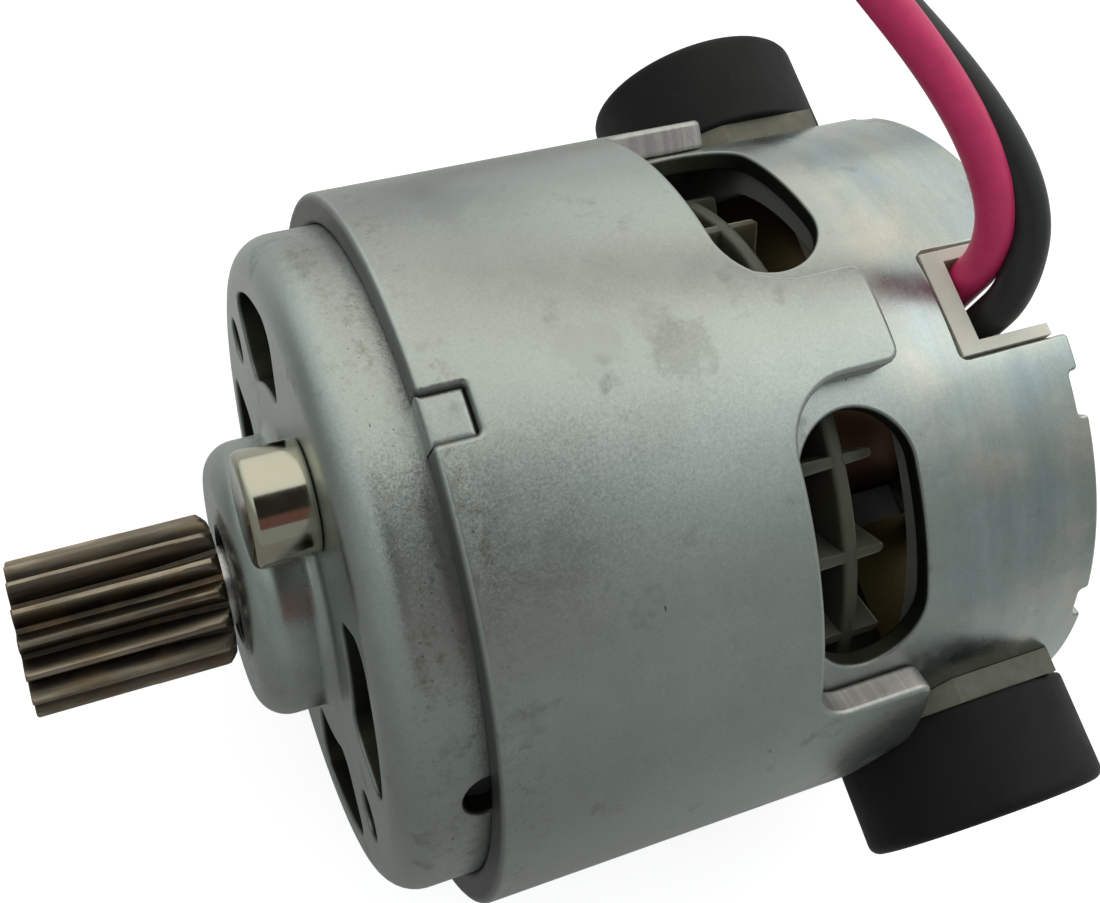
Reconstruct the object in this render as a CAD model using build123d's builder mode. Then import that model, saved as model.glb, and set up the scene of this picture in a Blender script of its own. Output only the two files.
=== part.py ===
from build123d import *
import math
import os

# Brushed DC motor of the 700 series, in millimetres.
# The shaft lies along Y: the front mounting face is at y = 0, the pinion points to -Y and the open
# rim of the can to +Y. The leads come out at +Z and the two dampers sit at -X (left) and +X (right).
# Angles about the shaft are counted from +X towards +Z.

# Fits
SEAT_GAP = 0.03          # radial gap of pieces that sit in or on one another
RUNNING_GAP = 0.05       # radial gap of shaft, balls and brushes
FREE_GAP = 0.3           # pieces that stand beside one another

# Can
CAN_DIAMETER = 42.0
CAN_LENGTH = 45.0
CAN_WALL = 1.3
FRONT_PLATE = 1.6
FRONT_EDGE_RADIUS = 2.4
BOSS_DIAMETER = 17.5
BOSS_HEIGHT = 4.5
BOSS_WEB = 1.0
BOSS_NOSE_RADIUS = 2.1
BOSS_ROOT_RADIUS = 0.75
BOSS_HOLE_DIAMETER = 7.6
POCKET_CORNER_RADIUS = 0.6
FRONT_VENT_INNER_RADIUS = 12.0
FRONT_VENT_OUTER_RADIUS = 17.7
FRONT_VENT_ANGLE = 38.0
FRONT_VENT_TURN = 2.5       # all four vents are turned towards the pin's side
FRONT_VENT_HALF_ANGLE = 19.5
FRONT_VENT_CORNER = 1.6
MOUNT_HOLE_DIAMETER = 3.1
MOUNT_SPACING = 32.0
DIMPLE_RADIUS = 0.8
DIMPLE_DEPTH = 0.4
DIMPLE_STATION = 10.2
SIDE_VENT_ANGLE = 34.6
SIDE_VENT_HALF_ANGLE = 22.2
SIDE_VENT_WIDTH = 7.5
SIDE_VENT_FROM_RIM = 12.2
LEAD_NOTCH_WIDTH = 7.1
LEAD_NOTCH_DEPTH = 7.5
LEAD_NOTCH_CORNER = 0.5
CRIMP_ANGLES = ((28.0, 34.0), (66.5, 74.0))
CRIMP_DEPTH = 0.7
CRIMP_REACH = 1.1
LUG_WIDTH = 2.6
LUG_LENGTH = 2.5
LUG_HEIGHT = 1.7
SIDE_HOLE_RADIUS = 1.5
SIDE_HOLE_ANGLE = 31.5

# Flux ring
RING_THICKNESS = 1.97
RING_FRONT = 5.2
RING_TAB_LENGTH = 7.8
RING_FROM_RIM = 12.4
RING_EDGE_RADIUS = 0.5
NARROW_TAB_HALF_ANGLE = 8.0
NARROW_TAB_ROOT_RADIUS = 4.0
WIDE_TAB_HALF_ANGLE = 30.0
WIDE_TAB_ROOT_RADIUS = 2.2
TAB_CORNER_RADIUS = 0.9
RING_NOTCH_WIDTH = 2.9
RING_NOTCH_DEPTH = 2.7

# Locating pin
PIN_DIAMETER = 6.8
PIN_OFFSET = -0.7           # beside the middle line of the can
PIN_HEIGHT = 3.8
PIN_EDGE = 0.4
PIN_STEM_DIAMETER = 3.6
PIN_HEAD_DIAMETER = 5.0
PIN_HEAD_THICKNESS = 0.6

# Dampers
DAMPER_DIAMETER = 16.0
DAMPER_THICKNESS = 7.0
DAMPER_FROM_RIM = 6.5
DAMPER_EDGE_RADIUS = 0.7
SEAT_THICKNESS = 0.3
SEAT_WIDTH = 14.6
SEAT_FROM_RIM = 1.8

# Shaft, pinion and front bearing
SHAFT_DIAMETER = 5.0
SHAFT_TAIL = 0.8
SPACER_WALL = 1.0
PINION_DIAMETER = 9.6
PINION_ROOT_DIAMETER = 7.3
PINION_TEETH = 15
TOOTH_ROOT_SHARE = 0.68    # widths of a tooth as shares of the pitch
TOOTH_PITCH_SHARE = 0.52
TOOTH_TIP_SHARE = 0.26
PINION_LENGTH = 12.0
PINION_STANDOFF = 0.5
PINION_CHAMFER = 0.9
BEARING_DIAMETER = 16.0
BEARING_WIDTH = 5.0
BEARING_CORNER = 0.7
BALL_DIAMETER = 2.78
BALL_COUNT = 7
RACE_LAND = 1.1
SHIELD_THICKNESS = 0.3
SHIELD_RECESS = 0.6

# Magnets
MAGNET_FRONT = 3.0
MAGNET_FROM_RIM = 20.5
MAGNET_THICKNESS = 4.37
MAGNET_HALF_ANGLE = 58.0
CLIP_THICKNESS = 0.45
CLIP_LIP = 2.6

# Armature
AIR_GAP = 0.4
CORE_FRONT = 5.5
CORE_FROM_RIM = 22.5
CORE_HUB_RADIUS = 6.0
CORE_TOOTH_WIDTH = 4.6
CORE_SHOE = 2.0
CORE_SLOT_MOUTH = 1.8
POLES = 5
INSULATOR_THICKNESS = 0.5
WINDING_GAP = 0.2
WINDING_FRONT_HEIGHT = 2.2
WINDING_REAR_HEIGHT = 2.8
WINDING_INNER_RADIUS = 5.6
WINDING_ROUND = 0.9
LEADOUT_DIAMETER = 0.9
LEADOUT_RADIUS = 7.2

# Fan
FAN_CLEARANCE = 1.7
FAN_FROM_RIM = 15.0
FAN_DISC_THICKNESS = 1.0
FAN_BLADE_FRONT_HEIGHT = 2.5
FAN_BLADE_REAR_HEIGHT = 1.8
FAN_BLADE_INNER_RADIUS = 9.6
FAN_BLADE_ROOT = 1.6
FAN_BLADE_TIP = 0.7
FAN_BLADES = 19
FAN_TURN = 12.0            # angle of the first blade
FAN_HUB_RADIUS = 4.8
FAN_HUB_REAR_HEIGHT = 2.2

# Commutator and brush gear
COMMUTATOR_RADIUS = 6.5
COMMUTATOR_STANDOFF = 0.4
COMMUTATOR_MARGIN = 0.6
COMMUTATOR_CORE_RADIUS = 5.0
SEGMENT_SLOT = 0.6
HOOK_LENGTH = 1.3
HOOK_REACH = 1.5
HOOK_WIDTH = 2.0
BRUSH_FROM_PLATE = 4.1
BRUSH_WIDTH = 4.6
BRUSH_HEIGHT = 6.0
BRUSH_GAP = 0.2
BRUSH_SIDE_GAP = 0.1
BRUSH_TRAVEL = 2.0
BOX_WALL = 0.5
BOX_FRONT = 8.3
BOX_CLEARANCE = 0.87
SPRING_ROOM = 3.5
SPRING_WIRE = 0.3
SPRING_RADIUS = 1.7
SPRING_TURNS = 4
SHUNT_DIAMETER = 0.9
SHUNT_SLOT = 1.3
TERMINAL_THICKNESS = 0.6
TERMINAL_WIDTH = 2.2

# End cap, bush and washers
CAP_DEPTH = 8.0
CAP_WALL = 1.8
CAP_PLATE = 2.2
CAP_FROM_RIM = 1.4
CAP_BOSS_RADIUS = 8.2
CAP_BOSS_LIP = 0.5
CAP_BOSS_HEIGHT = 4.2
CAP_VENT_ANGLES = (45, 135, 225, 315)
CAP_VENT_HALF_ANGLE = 20.0
CAP_VENT_CORNER = 0.6
CAP_FRAME_BAR = 0.75
CAP_FRAME_FRONT_BAR = 1.4
CAP_FRAME_SINK = 0.2
BUSH_DIAMETER = 10.0
BUSH_LENGTH = 5.0
BUSH_COVER = 0.9
FELT_LENGTH = 3.0
FELT_RADIUS = 7.2
RETAINER_THICKNESS = 0.5
WASHER_THICKNESS = 0.5
WASHER_RADIUS = 4.2

# Leads, each a chain of straight runs joined by arcs; stations are counted from the open rim
LEAD_DIAMETER = 2.4
CONDUCTOR_DIAMETER = 1.5
RED_ROUTE = (
    (-1.33, -4.70, 14.60),
    (-1.33, -4.70, 18.60),
    (-1.50, -4.30, 23.40),
    (-4.10, -4.80, 27.00),
    (-9.00, -7.90, 31.30),
    (-16.20, -13.80, 35.70),
    (-25.00, -19.50, 38.80),
    (-35.00, -25.50, 38.00),
    (-45.50, -30.00, 33.00),
    (-54.50, -33.00, 24.50),
    (-61.00, -34.50, 13.50),
    (-65.30, -34.50, 1.50),
    (-67.60, -32.00, -10.00),
    (-68.00, -25.50, -18.40),
    (-67.50, -17.00, -20.85),
    (-67.50, -9.00, -20.85),
)
BLACK_ROUTE = (
    (1.38, -4.55, 14.60),
    (1.38, -4.55, 18.80),
    (1.10, -2.90, 22.80),
    (-2.60, -1.60, 26.40),
    (-8.60, -4.20, 30.10),
    (-15.50, -10.00, 34.90),
    (-24.50, -14.00, 37.40),
    (-34.00, -18.20, 36.20),
    (-43.20, -21.70, 30.50),
    (-50.30, -24.00, 21.00),
    (-54.50, -25.00, 9.50),
    (-56.80, -24.50, -2.50),
    (-57.90, -22.30, -12.50),
    (-58.20, -17.50, -18.80),
    (-57.70, -10.50, -20.85),
    (-57.70, -3.50, -20.85),
)

# Connectors
BARREL_DIAMETER = 3.2
BARREL_LENGTH = 4.0
BLADE_WIDTH = 6.3
CONNECTOR_PLATE = 0.8
CONNECTOR_LENGTH = 8.0
CURL_RADIUS = 1.2
SLEEVE_WALL = 0.5
SLEEVE_LENGTH = 9.0

# Worked out from the sizes above
can_radius = CAN_DIAMETER / 2
can_inner = can_radius - CAN_WALL
boss_radius = BOSS_DIAMETER / 2
pocket_radius = BEARING_DIAMETER / 2 + SEAT_GAP
pocket_front = BOSS_WEB - BOSS_HEIGHT
bearing_rear = pocket_front + BEARING_WIDTH
ring_inner = can_radius + SEAT_GAP
ring_radius = ring_inner + RING_THICKNESS
ring_end = CAN_LENGTH - RING_FROM_RIM
ring_scallop = ring_end - RING_TAB_LENGTH
side_vent_rear = CAN_LENGTH - SIDE_VENT_FROM_RIM
side_vent_front = side_vent_rear - SIDE_VENT_WIDTH
pin_station = boss_radius + FREE_GAP + PIN_DIAMETER / 2
damper_radius = DAMPER_DIAMETER / 2
damper_inner = can_radius + SEAT_THICKNESS
damper_station = CAN_LENGTH - DAMPER_FROM_RIM
seat_rear = CAN_LENGTH - SEAT_FROM_RIM
shaft_radius = SHAFT_DIAMETER / 2
bore_radius = shaft_radius + SEAT_GAP
pinion_rear = -BOSS_HEIGHT - PINION_STANDOFF
pinion_front = pinion_rear - PINION_LENGTH
magnet_outer = can_inner - SEAT_GAP
magnet_inner = magnet_outer - MAGNET_THICKNESS
magnet_rear = CAN_LENGTH - MAGNET_FROM_RIM
core_radius = magnet_inner - AIR_GAP
core_rear = CAN_LENGTH - CORE_FROM_RIM
winding_front = CORE_FRONT - INSULATOR_THICKNESS - WINDING_FRONT_HEIGHT
winding_rear = core_rear + INSULATOR_THICKNESS + WINDING_REAR_HEIGHT
fan_radius = can_inner - FAN_CLEARANCE
fan_disc_rear = CAN_LENGTH - FAN_FROM_RIM
fan_disc_front = fan_disc_rear - FAN_DISC_THICKNESS
fan_blade_front = fan_disc_front - FAN_BLADE_FRONT_HEIGHT
fan_blade_rear = fan_disc_rear + FAN_BLADE_REAR_HEIGHT
fan_hub_rear = fan_disc_rear + FAN_HUB_REAR_HEIGHT
ball_radius = BALL_DIAMETER / 2
pitch_radius = (BEARING_DIAMETER + SHAFT_DIAMETER) / 4
cap_radius = can_inner - SEAT_GAP
cap_inner = cap_radius - CAP_WALL
cap_plate_rear = CAN_LENGTH - CAP_FROM_RIM
cap_plate_front = cap_plate_rear - CAP_PLATE
cap_front = cap_plate_front - CAP_DEPTH
cap_boss_front = cap_plate_front - CAP_BOSS_LIP
cap_boss_rear = cap_plate_rear + CAP_BOSS_HEIGHT
cap_frame_top = can_radius - CAP_FRAME_SINK
bush_rear = cap_boss_rear - BUSH_COVER
bush_front = bush_rear - BUSH_LENGTH
felt_front = bush_front + RETAINER_THICKNESS
felt_rear = felt_front + FELT_LENGTH
shaft_rear = cap_boss_rear + SHAFT_TAIL
brush_station = cap_plate_front - BRUSH_FROM_PLATE
commutator_front = fan_hub_rear + COMMUTATOR_STANDOFF
commutator_rear = brush_station + BRUSH_WIDTH / 2 + COMMUTATOR_MARGIN
box_rear = cap_inner - BOX_CLEARANCE
brush_front = COMMUTATOR_RADIUS + BRUSH_GAP
brush_rear = box_rear - BOX_WALL - SPRING_ROOM
box_half_width = BRUSH_WIDTH / 2 + BRUSH_SIDE_GAP
box_half_height = BRUSH_HEIGHT / 2 + BRUSH_SIDE_GAP
lead_radius = LEAD_DIAMETER / 2
SIDES = {"left": -1, "right": 1}

red_route = [(x, CAN_LENGTH + y, z) for x, y, z in RED_ROUTE]
black_route = [(x, CAN_LENGTH + y, z) for x, y, z in BLACK_ROUTE]

os.makedirs("parts", exist_ok=True)


def save(solid, label):
    """Label one finished piece and write its file."""
    solid.label = label
    export_step(solid, f"parts/{label}.step")


def across(station):
    """Plane across the shaft that looks forward: its x is +X and its y is +Z."""
    return Plane.XZ.offset(-station)


def facing(angle):
    """Plane through the shaft that looks out at an angle: its x is +Y, its y goes round the can."""
    turn = math.radians(angle)
    return Plane(origin=(0, 0, 0), x_dir=(0, 1, 0), z_dir=(math.cos(turn), 0, math.sin(turn)))


def polar(radius, angle):
    """Point at a radius and an angle in a plane across the shaft."""
    return radius * math.cos(math.radians(angle)), radius * math.sin(math.radians(angle))


def turned(*corners):
    """Solid of revolution about the shaft with (radius, station) corners."""
    with BuildPart() as piece:
        with BuildSketch(Plane.XY):
            with BuildLine():
                Polyline(*corners, close=True)
            make_face()
        revolve(axis=Axis.Y)
    return piece.part


def ring(inner, outer, front, rear):
    """Plain ring round the shaft."""
    return turned((inner, front), (outer, front), (outer, rear), (inner, rear))


def sector(inner, outer, start, end, corner=0):
    """Flat piece of a ring between two angles, with rounded corners if asked."""
    with BuildSketch() as area:
        with BuildLine():
            CenterArc((0, 0), outer, start, end - start)
            CenterArc((0, 0), inner, start, end - start)
            Line(polar(inner, start), polar(outer, start))
            Line(polar(inner, end), polar(outer, end))
        make_face()
        if corner:
            fillet(area.vertices(), corner)
    return area.sketch


def sector_block(inner, outer, start, end, front, rear, corner=0):
    """Piece of a ring between two angles and two stations."""
    with BuildPart() as block:
        with BuildSketch(across(rear)):
            add(sector(inner, outer, start, end, corner))
        extrude(amount=rear - front)
    return block.part


def round_bar(radius, front, rear, x=0.0, z=0.0):
    """Round bar along the shaft's direction."""
    with BuildPart() as bar:
        with BuildSketch(across(rear)):
            with Locations((x, z)):
                Circle(radius)
        extrude(amount=rear - front)
    return bar.part


def block(x0, x1, y0, y1, z0, z1):
    """Square block between two corners."""
    with BuildPart() as body:
        with BuildSketch(across(y1)):
            with Locations(((x0 + x1) / 2, (z0 + z1) / 2)):
                Rectangle(x1 - x0, z1 - z0)
        extrude(amount=y1 - y0)
    return body.part


def radial_cut(angle, front, rear, width, corner=0):
    """Straight punch through one wall of the can, from the shaft outwards."""
    with BuildPart() as punch:
        with BuildSketch(facing(angle)) as outline:
            with Locations(((front + rear) / 2, 0)):
                Rectangle(rear - front, width)
            if corner:
                fillet(outline.vertices(), corner)
        extrude(amount=2 * ring_radius)
    return punch.part


def mirrored(angles):
    """The same ranges of angles in all four quarters."""
    ranges = []
    for start, end in angles:
        ranges += [(start, end), (180 - end, 180 - start), (180 + start, 180 + end), (-end, -start)]
    return ranges


def make_motor_can():
    with BuildPart() as can:
        with BuildSketch(Plane.XY):
            with BuildLine():
                FilletPolyline(
                    (BOSS_HOLE_DIAMETER / 2, -BOSS_HEIGHT),
                    (boss_radius, -BOSS_HEIGHT),
                    (boss_radius, 0),
                    (can_radius, 0),
                    (can_radius, CAN_LENGTH),
                    (can_inner, CAN_LENGTH),
                    (can_inner, FRONT_PLATE),
                    (pocket_radius, FRONT_PLATE),
                    (pocket_radius, pocket_front),
                    (BOSS_HOLE_DIAMETER / 2, pocket_front),
                    radius=[0, BOSS_NOSE_RADIUS, BOSS_ROOT_RADIUS, FRONT_EDGE_RADIUS, 0, 0,
                            FRONT_EDGE_RADIUS - CAN_WALL, 0, POCKET_CORNER_RADIUS, 0],
                    close=True)
            make_face()
        revolve(axis=Axis.Y)

        with BuildSketch(across(FRONT_PLATE)):
            for place in (FRONT_VENT_ANGLE, 180 - FRONT_VENT_ANGLE,
                          180 + FRONT_VENT_ANGLE, 360 - FRONT_VENT_ANGLE):
                centre = place + FRONT_VENT_TURN
                add(sector(FRONT_VENT_INNER_RADIUS, FRONT_VENT_OUTER_RADIUS,
                           centre - FRONT_VENT_HALF_ANGLE, centre + FRONT_VENT_HALF_ANGLE,
                           FRONT_VENT_CORNER))
            with Locations((-MOUNT_SPACING / 2, 0), (MOUNT_SPACING / 2, 0)):
                Circle(MOUNT_HOLE_DIAMETER / 2)
            with Locations((PIN_OFFSET, pin_station)):
                Circle(PIN_STEM_DIAMETER / 2 + SEAT_GAP)
        extrude(amount=FRONT_PLATE, mode=Mode.SUBTRACT)
        with BuildSketch(across(DIMPLE_DEPTH)):
            with Locations((-DIMPLE_STATION, 0), (DIMPLE_STATION, 0)):
                Circle(DIMPLE_RADIUS)
        extrude(amount=DIMPLE_DEPTH, mode=Mode.SUBTRACT)

        vent_width = side_vent_rear - side_vent_front
        vent_length = 2 * can_radius * math.sin(math.radians(SIDE_VENT_HALF_ANGLE))
        for centre in (90 - SIDE_VENT_ANGLE, 90 + SIDE_VENT_ANGLE,
                       270 - SIDE_VENT_ANGLE, 270 + SIDE_VENT_ANGLE):
            with BuildSketch(facing(centre)):
                with Locations(((side_vent_front + side_vent_rear) / 2, 0)):
                    SlotOverall(vent_length, vent_width, rotation=90)
            extrude(amount=2 * ring_radius, mode=Mode.SUBTRACT)
        for centre in (SIDE_HOLE_ANGLE, 180 + SIDE_HOLE_ANGLE):
            with BuildSketch(facing(centre)):
                with Locations((RING_FRONT, 0)):
                    Circle(SIDE_HOLE_RADIUS)
            extrude(amount=2 * ring_radius, mode=Mode.SUBTRACT)
        add(radial_cut(90, CAN_LENGTH - LEAD_NOTCH_DEPTH, CAN_LENGTH + LEAD_NOTCH_DEPTH,
                       LEAD_NOTCH_WIDTH, LEAD_NOTCH_CORNER), mode=Mode.SUBTRACT)

        for start, end in mirrored(CRIMP_ANGLES):
            add(sector_block(can_inner - CRIMP_REACH, can_radius + CAN_WALL, start, end,
                             CAN_LENGTH - CRIMP_DEPTH, CAN_LENGTH + CRIMP_DEPTH), mode=Mode.SUBTRACT)
            add(sector_block(can_inner - CRIMP_REACH, can_inner + CAN_WALL / 2, start, end,
                             cap_plate_rear + SEAT_GAP, CAN_LENGTH - CRIMP_DEPTH))
        lug_half_angle = math.degrees(LUG_WIDTH / 2 / can_radius)
        for centre in (90, 270):
            add(sector_block(can_radius - CAN_WALL / 2, can_radius + LUG_HEIGHT,
                             centre - lug_half_angle, centre + lug_half_angle,
                             RING_FRONT, RING_FRONT + LUG_LENGTH))
    save(can.part, "motor_can")


def make_flux_ring():
    tab_ends = (NARROW_TAB_HALF_ANGLE, 90 - WIDE_TAB_HALF_ANGLE)
    with BuildPart() as flux:
        add(ring(ring_inner, ring_radius, RING_FRONT, ring_end))
        for start, end in mirrored([(WIDE_TAB_HALF_ANGLE, 90 - NARROW_TAB_HALF_ANGLE)]):
            add(sector_block(can_inner, ring_radius + CAN_WALL, start, end, ring_scallop,
                             ring_end + CAN_WALL), mode=Mode.SUBTRACT)
        radial_edges = flux.edges().filter_by(GeomType.LINE).filter_by(
            lambda edge: abs(edge.center().Y - ring_scallop) < SEAT_GAP)
        narrow_roots = radial_edges.filter_by(lambda edge: abs(edge.center().Z) > abs(edge.center().X))
        wide_roots = radial_edges.filter_by(lambda edge: abs(edge.center().Z) < abs(edge.center().X))
        fillet(narrow_roots, NARROW_TAB_ROOT_RADIUS)
        fillet(wide_roots, WIDE_TAB_ROOT_RADIUS)
        tips = flux.edges().filter_by(GeomType.LINE).filter_by(
            lambda edge: abs(edge.center().Y - ring_end) < SEAT_GAP)
        fillet(tips, TAB_CORNER_RADIUS)
        front_edge = flux.edges().filter_by(GeomType.CIRCLE).filter_by(
            lambda edge: abs(edge.center().Y - RING_FRONT) < SEAT_GAP).sort_by(SortBy.LENGTH)[-1]
        fillet(front_edge, RING_EDGE_RADIUS)
        with BuildSketch(Plane.YZ.offset(-ring_radius)):
            with Locations((damper_station, 0)):
                Circle(damper_radius + FREE_GAP)
        extrude(amount=2 * ring_radius, mode=Mode.SUBTRACT)
        for centre in (90, 270):
            add(radial_cut(centre, RING_FRONT - RING_NOTCH_DEPTH, RING_FRONT + RING_NOTCH_DEPTH,
                           RING_NOTCH_WIDTH), mode=Mode.SUBTRACT)
    save(flux.part, "flux_ring")


def make_locating_pin():
    with BuildPart() as pin:
        with BuildSketch(across(0)):
            with Locations((PIN_OFFSET, pin_station)):
                Circle(PIN_DIAMETER / 2)
        extrude(amount=PIN_HEIGHT)
        chamfer(pin.edges().filter_by(GeomType.CIRCLE), PIN_EDGE)
        add(round_bar(PIN_STEM_DIAMETER / 2, 0, FRONT_PLATE, PIN_OFFSET, pin_station))
        add(round_bar(PIN_HEAD_DIAMETER / 2, FRONT_PLATE, FRONT_PLATE + PIN_HEAD_THICKNESS,
                      PIN_OFFSET, pin_station))
    save(pin.part, "locating_pin")


def make_dampers():
    for name, side in SIDES.items():
        plane = Plane(origin=(side * damper_inner, 0, 0), x_dir=(0, 1, 0), z_dir=(side, 0, 0))
        with BuildPart() as damper:
            with BuildSketch(plane):
                with Locations((damper_station, 0)):
                    Circle(damper_radius)
            extrude(amount=DAMPER_THICKNESS)
            outer_face = damper.faces().sort_by(Axis.X)[-1 if side > 0 else 0]
            fillet(outer_face.edges(), DAMPER_EDGE_RADIUS)
        save(damper.part, f"damper_{name}")

        with BuildPart() as pad:
            with BuildSketch(Plane.YZ.offset(side * damper_inner)):
                with Locations(((damper_station + seat_rear) / 2, 0)):
                    Rectangle(seat_rear - damper_station, SEAT_WIDTH)
                with Locations((damper_station, 0)):
                    Circle(damper_radius - FREE_GAP)
                Rectangle(2 * CAN_LENGTH, SEAT_WIDTH, mode=Mode.INTERSECT)
            extrude(amount=-side * can_radius / 2)
            add(ring(0, can_radius + SEAT_GAP, 0, CAN_LENGTH), mode=Mode.SUBTRACT)
        save(pad.part, f"damper_seat_{name}")


def make_front_bearing():
    bearing_front = bearing_rear - BEARING_WIDTH
    middle = (bearing_front + bearing_rear) / 2
    groove = ball_radius + RUNNING_GAP
    outer_land = pitch_radius + RACE_LAND
    inner_land = pitch_radius - RACE_LAND
    shield_half = BEARING_WIDTH / 2 - SHIELD_RECESS / 2

    with BuildPart() as outer:
        with BuildSketch(Plane.XY):
            with BuildLine():
                FilletPolyline(
                    (outer_land, bearing_front), (BEARING_DIAMETER / 2, bearing_front),
                    (BEARING_DIAMETER / 2, bearing_rear), (outer_land, bearing_rear),
                    radius=[0, BEARING_CORNER, BEARING_CORNER, 0], close=True)
            make_face()
            with Locations((pitch_radius, middle)):
                Circle(groove, mode=Mode.SUBTRACT)
        revolve(axis=Axis.Y)
    save(outer.part, "bearing_outer_race")

    with BuildPart() as inner:
        with BuildSketch(Plane.XY):
            with Locations(((bore_radius + inner_land) / 2, middle)):
                Rectangle(inner_land - bore_radius, BEARING_WIDTH)
            with Locations((pitch_radius, middle)):
                Circle(groove, mode=Mode.SUBTRACT)
        revolve(axis=Axis.Y)
    save(inner.part, "bearing_inner_race")

    with BuildPart() as balls:
        with Locations(across(middle)):
            with PolarLocations(pitch_radius, BALL_COUNT):
                Sphere(ball_radius)
    save(balls.part, "bearing_balls")

    with BuildPart() as cage:
        add(ring(inner_land + FREE_GAP / 2, outer_land - FREE_GAP / 2,
                 middle - ball_radius - FREE_GAP, middle + ball_radius + FREE_GAP))
        for ball in range(BALL_COUNT):
            with BuildSketch(facing(ball * 360 / BALL_COUNT)):
                with Locations((middle, 0)):
                    Circle(ball_radius + RUNNING_GAP)
            extrude(amount=BEARING_DIAMETER, mode=Mode.SUBTRACT)
    save(cage.part, "bearing_cage")

    with BuildPart() as shields:
        for station in (middle - shield_half, middle + shield_half - SHIELD_THICKNESS):
            add(ring(inner_land + RUNNING_GAP, outer_land, station, station + SHIELD_THICKNESS))
    save(shields.part, "bearing_shields")


def make_shaft_line():
    shaft_front = pinion_front + PINION_STANDOFF
    with BuildPart() as shaft:
        add(round_bar(shaft_radius, shaft_front, shaft_rear))
        chamfer(shaft.edges().filter_by(GeomType.CIRCLE), PINION_STANDOFF)
    save(shaft.part, "motor_shaft")

    with BuildPart() as pinion:
        pitch = 360 / PINION_TEETH
        root = PINION_ROOT_DIAMETER / 2
        tip = PINION_DIAMETER / 2
        flank = [(root - SEAT_GAP, TOOTH_ROOT_SHARE), ((root + tip) / 2, TOOTH_PITCH_SHARE),
                 (tip, TOOTH_TIP_SHARE)]
        with BuildSketch(across(pinion_rear)):
            Circle(root)
            for tooth in range(PINION_TEETH):
                middle = tooth * pitch
                near = [polar(radius, middle - share * pitch / 2) for radius, share in flank]
                far = [polar(radius, middle + share * pitch / 2) for radius, share in reversed(flank)]
                with BuildLine():
                    Polyline(*near, *far, close=True)
                make_face()
            Circle(bore_radius, mode=Mode.SUBTRACT)
        extrude(amount=PINION_LENGTH)
        add(turned((tip - PINION_CHAMFER, pinion_rear), (tip + PINION_CHAMFER, pinion_rear),
                   (tip + PINION_CHAMFER, pinion_rear - 2 * PINION_CHAMFER)), mode=Mode.SUBTRACT)
    save(pinion.part, "drive_pinion")

    spacer_radius = shaft_radius + SPACER_WALL
    spacer_rear = CORE_FRONT - INSULATOR_THICKNESS
    save(ring(bore_radius, spacer_radius, bearing_rear, spacer_rear), "shaft_spacer")
    washer_rear = bush_front - BRUSH_GAP
    washer = ring(bore_radius, WASHER_RADIUS, washer_rear - WASHER_THICKNESS, washer_rear)
    save(washer, "thrust_washer")


def make_magnets():
    for name, centre in (("left", 180), ("right", 0)):
        magnet = sector_block(magnet_inner, magnet_outer, centre - MAGNET_HALF_ANGLE,
                              centre + MAGNET_HALF_ANGLE, MAGNET_FRONT, magnet_rear)
        save(magnet, f"magnet_{name}")
    gap_half = 90 - MAGNET_HALF_ANGLE - math.degrees(SEAT_GAP / magnet_inner)
    lip_angle = math.degrees(CLIP_THICKNESS / magnet_inner)
    for name, centre in (("top", 90), ("bottom", 270)):
        with BuildPart() as clip:
            add(sector_block(magnet_outer - CLIP_THICKNESS, magnet_outer, centre - gap_half,
                             centre + gap_half, MAGNET_FRONT + CLIP_THICKNESS, magnet_rear - CLIP_THICKNESS))
            for start in (centre - gap_half, centre + gap_half - lip_angle):
                add(sector_block(magnet_outer - CLIP_LIP, magnet_outer, start, start + lip_angle,
                                 MAGNET_FRONT + CLIP_THICKNESS, magnet_rear - CLIP_THICKNESS))
        save(clip.part, f"magnet_clip_{name}")


def lamination(radius):
    """Outline of one core plate: a hub, five teeth and their shoes."""
    shoe_half = 180 / POLES - math.degrees(CORE_SLOT_MOUTH / 2 / core_radius)
    with BuildSketch() as plate:
        Circle(CORE_HUB_RADIUS)
        for pole in range(POLES):
            turn = 90 + pole * 360 / POLES
            with Locations(polar((core_radius - CORE_SHOE) / 2, turn)):
                Rectangle(core_radius - CORE_SHOE / 2, CORE_TOOTH_WIDTH, rotation=turn)
            add(sector(core_radius - CORE_SHOE, radius, turn - shoe_half, turn + shoe_half))
        Circle(bore_radius, mode=Mode.SUBTRACT)
    return plate.sketch


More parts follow.
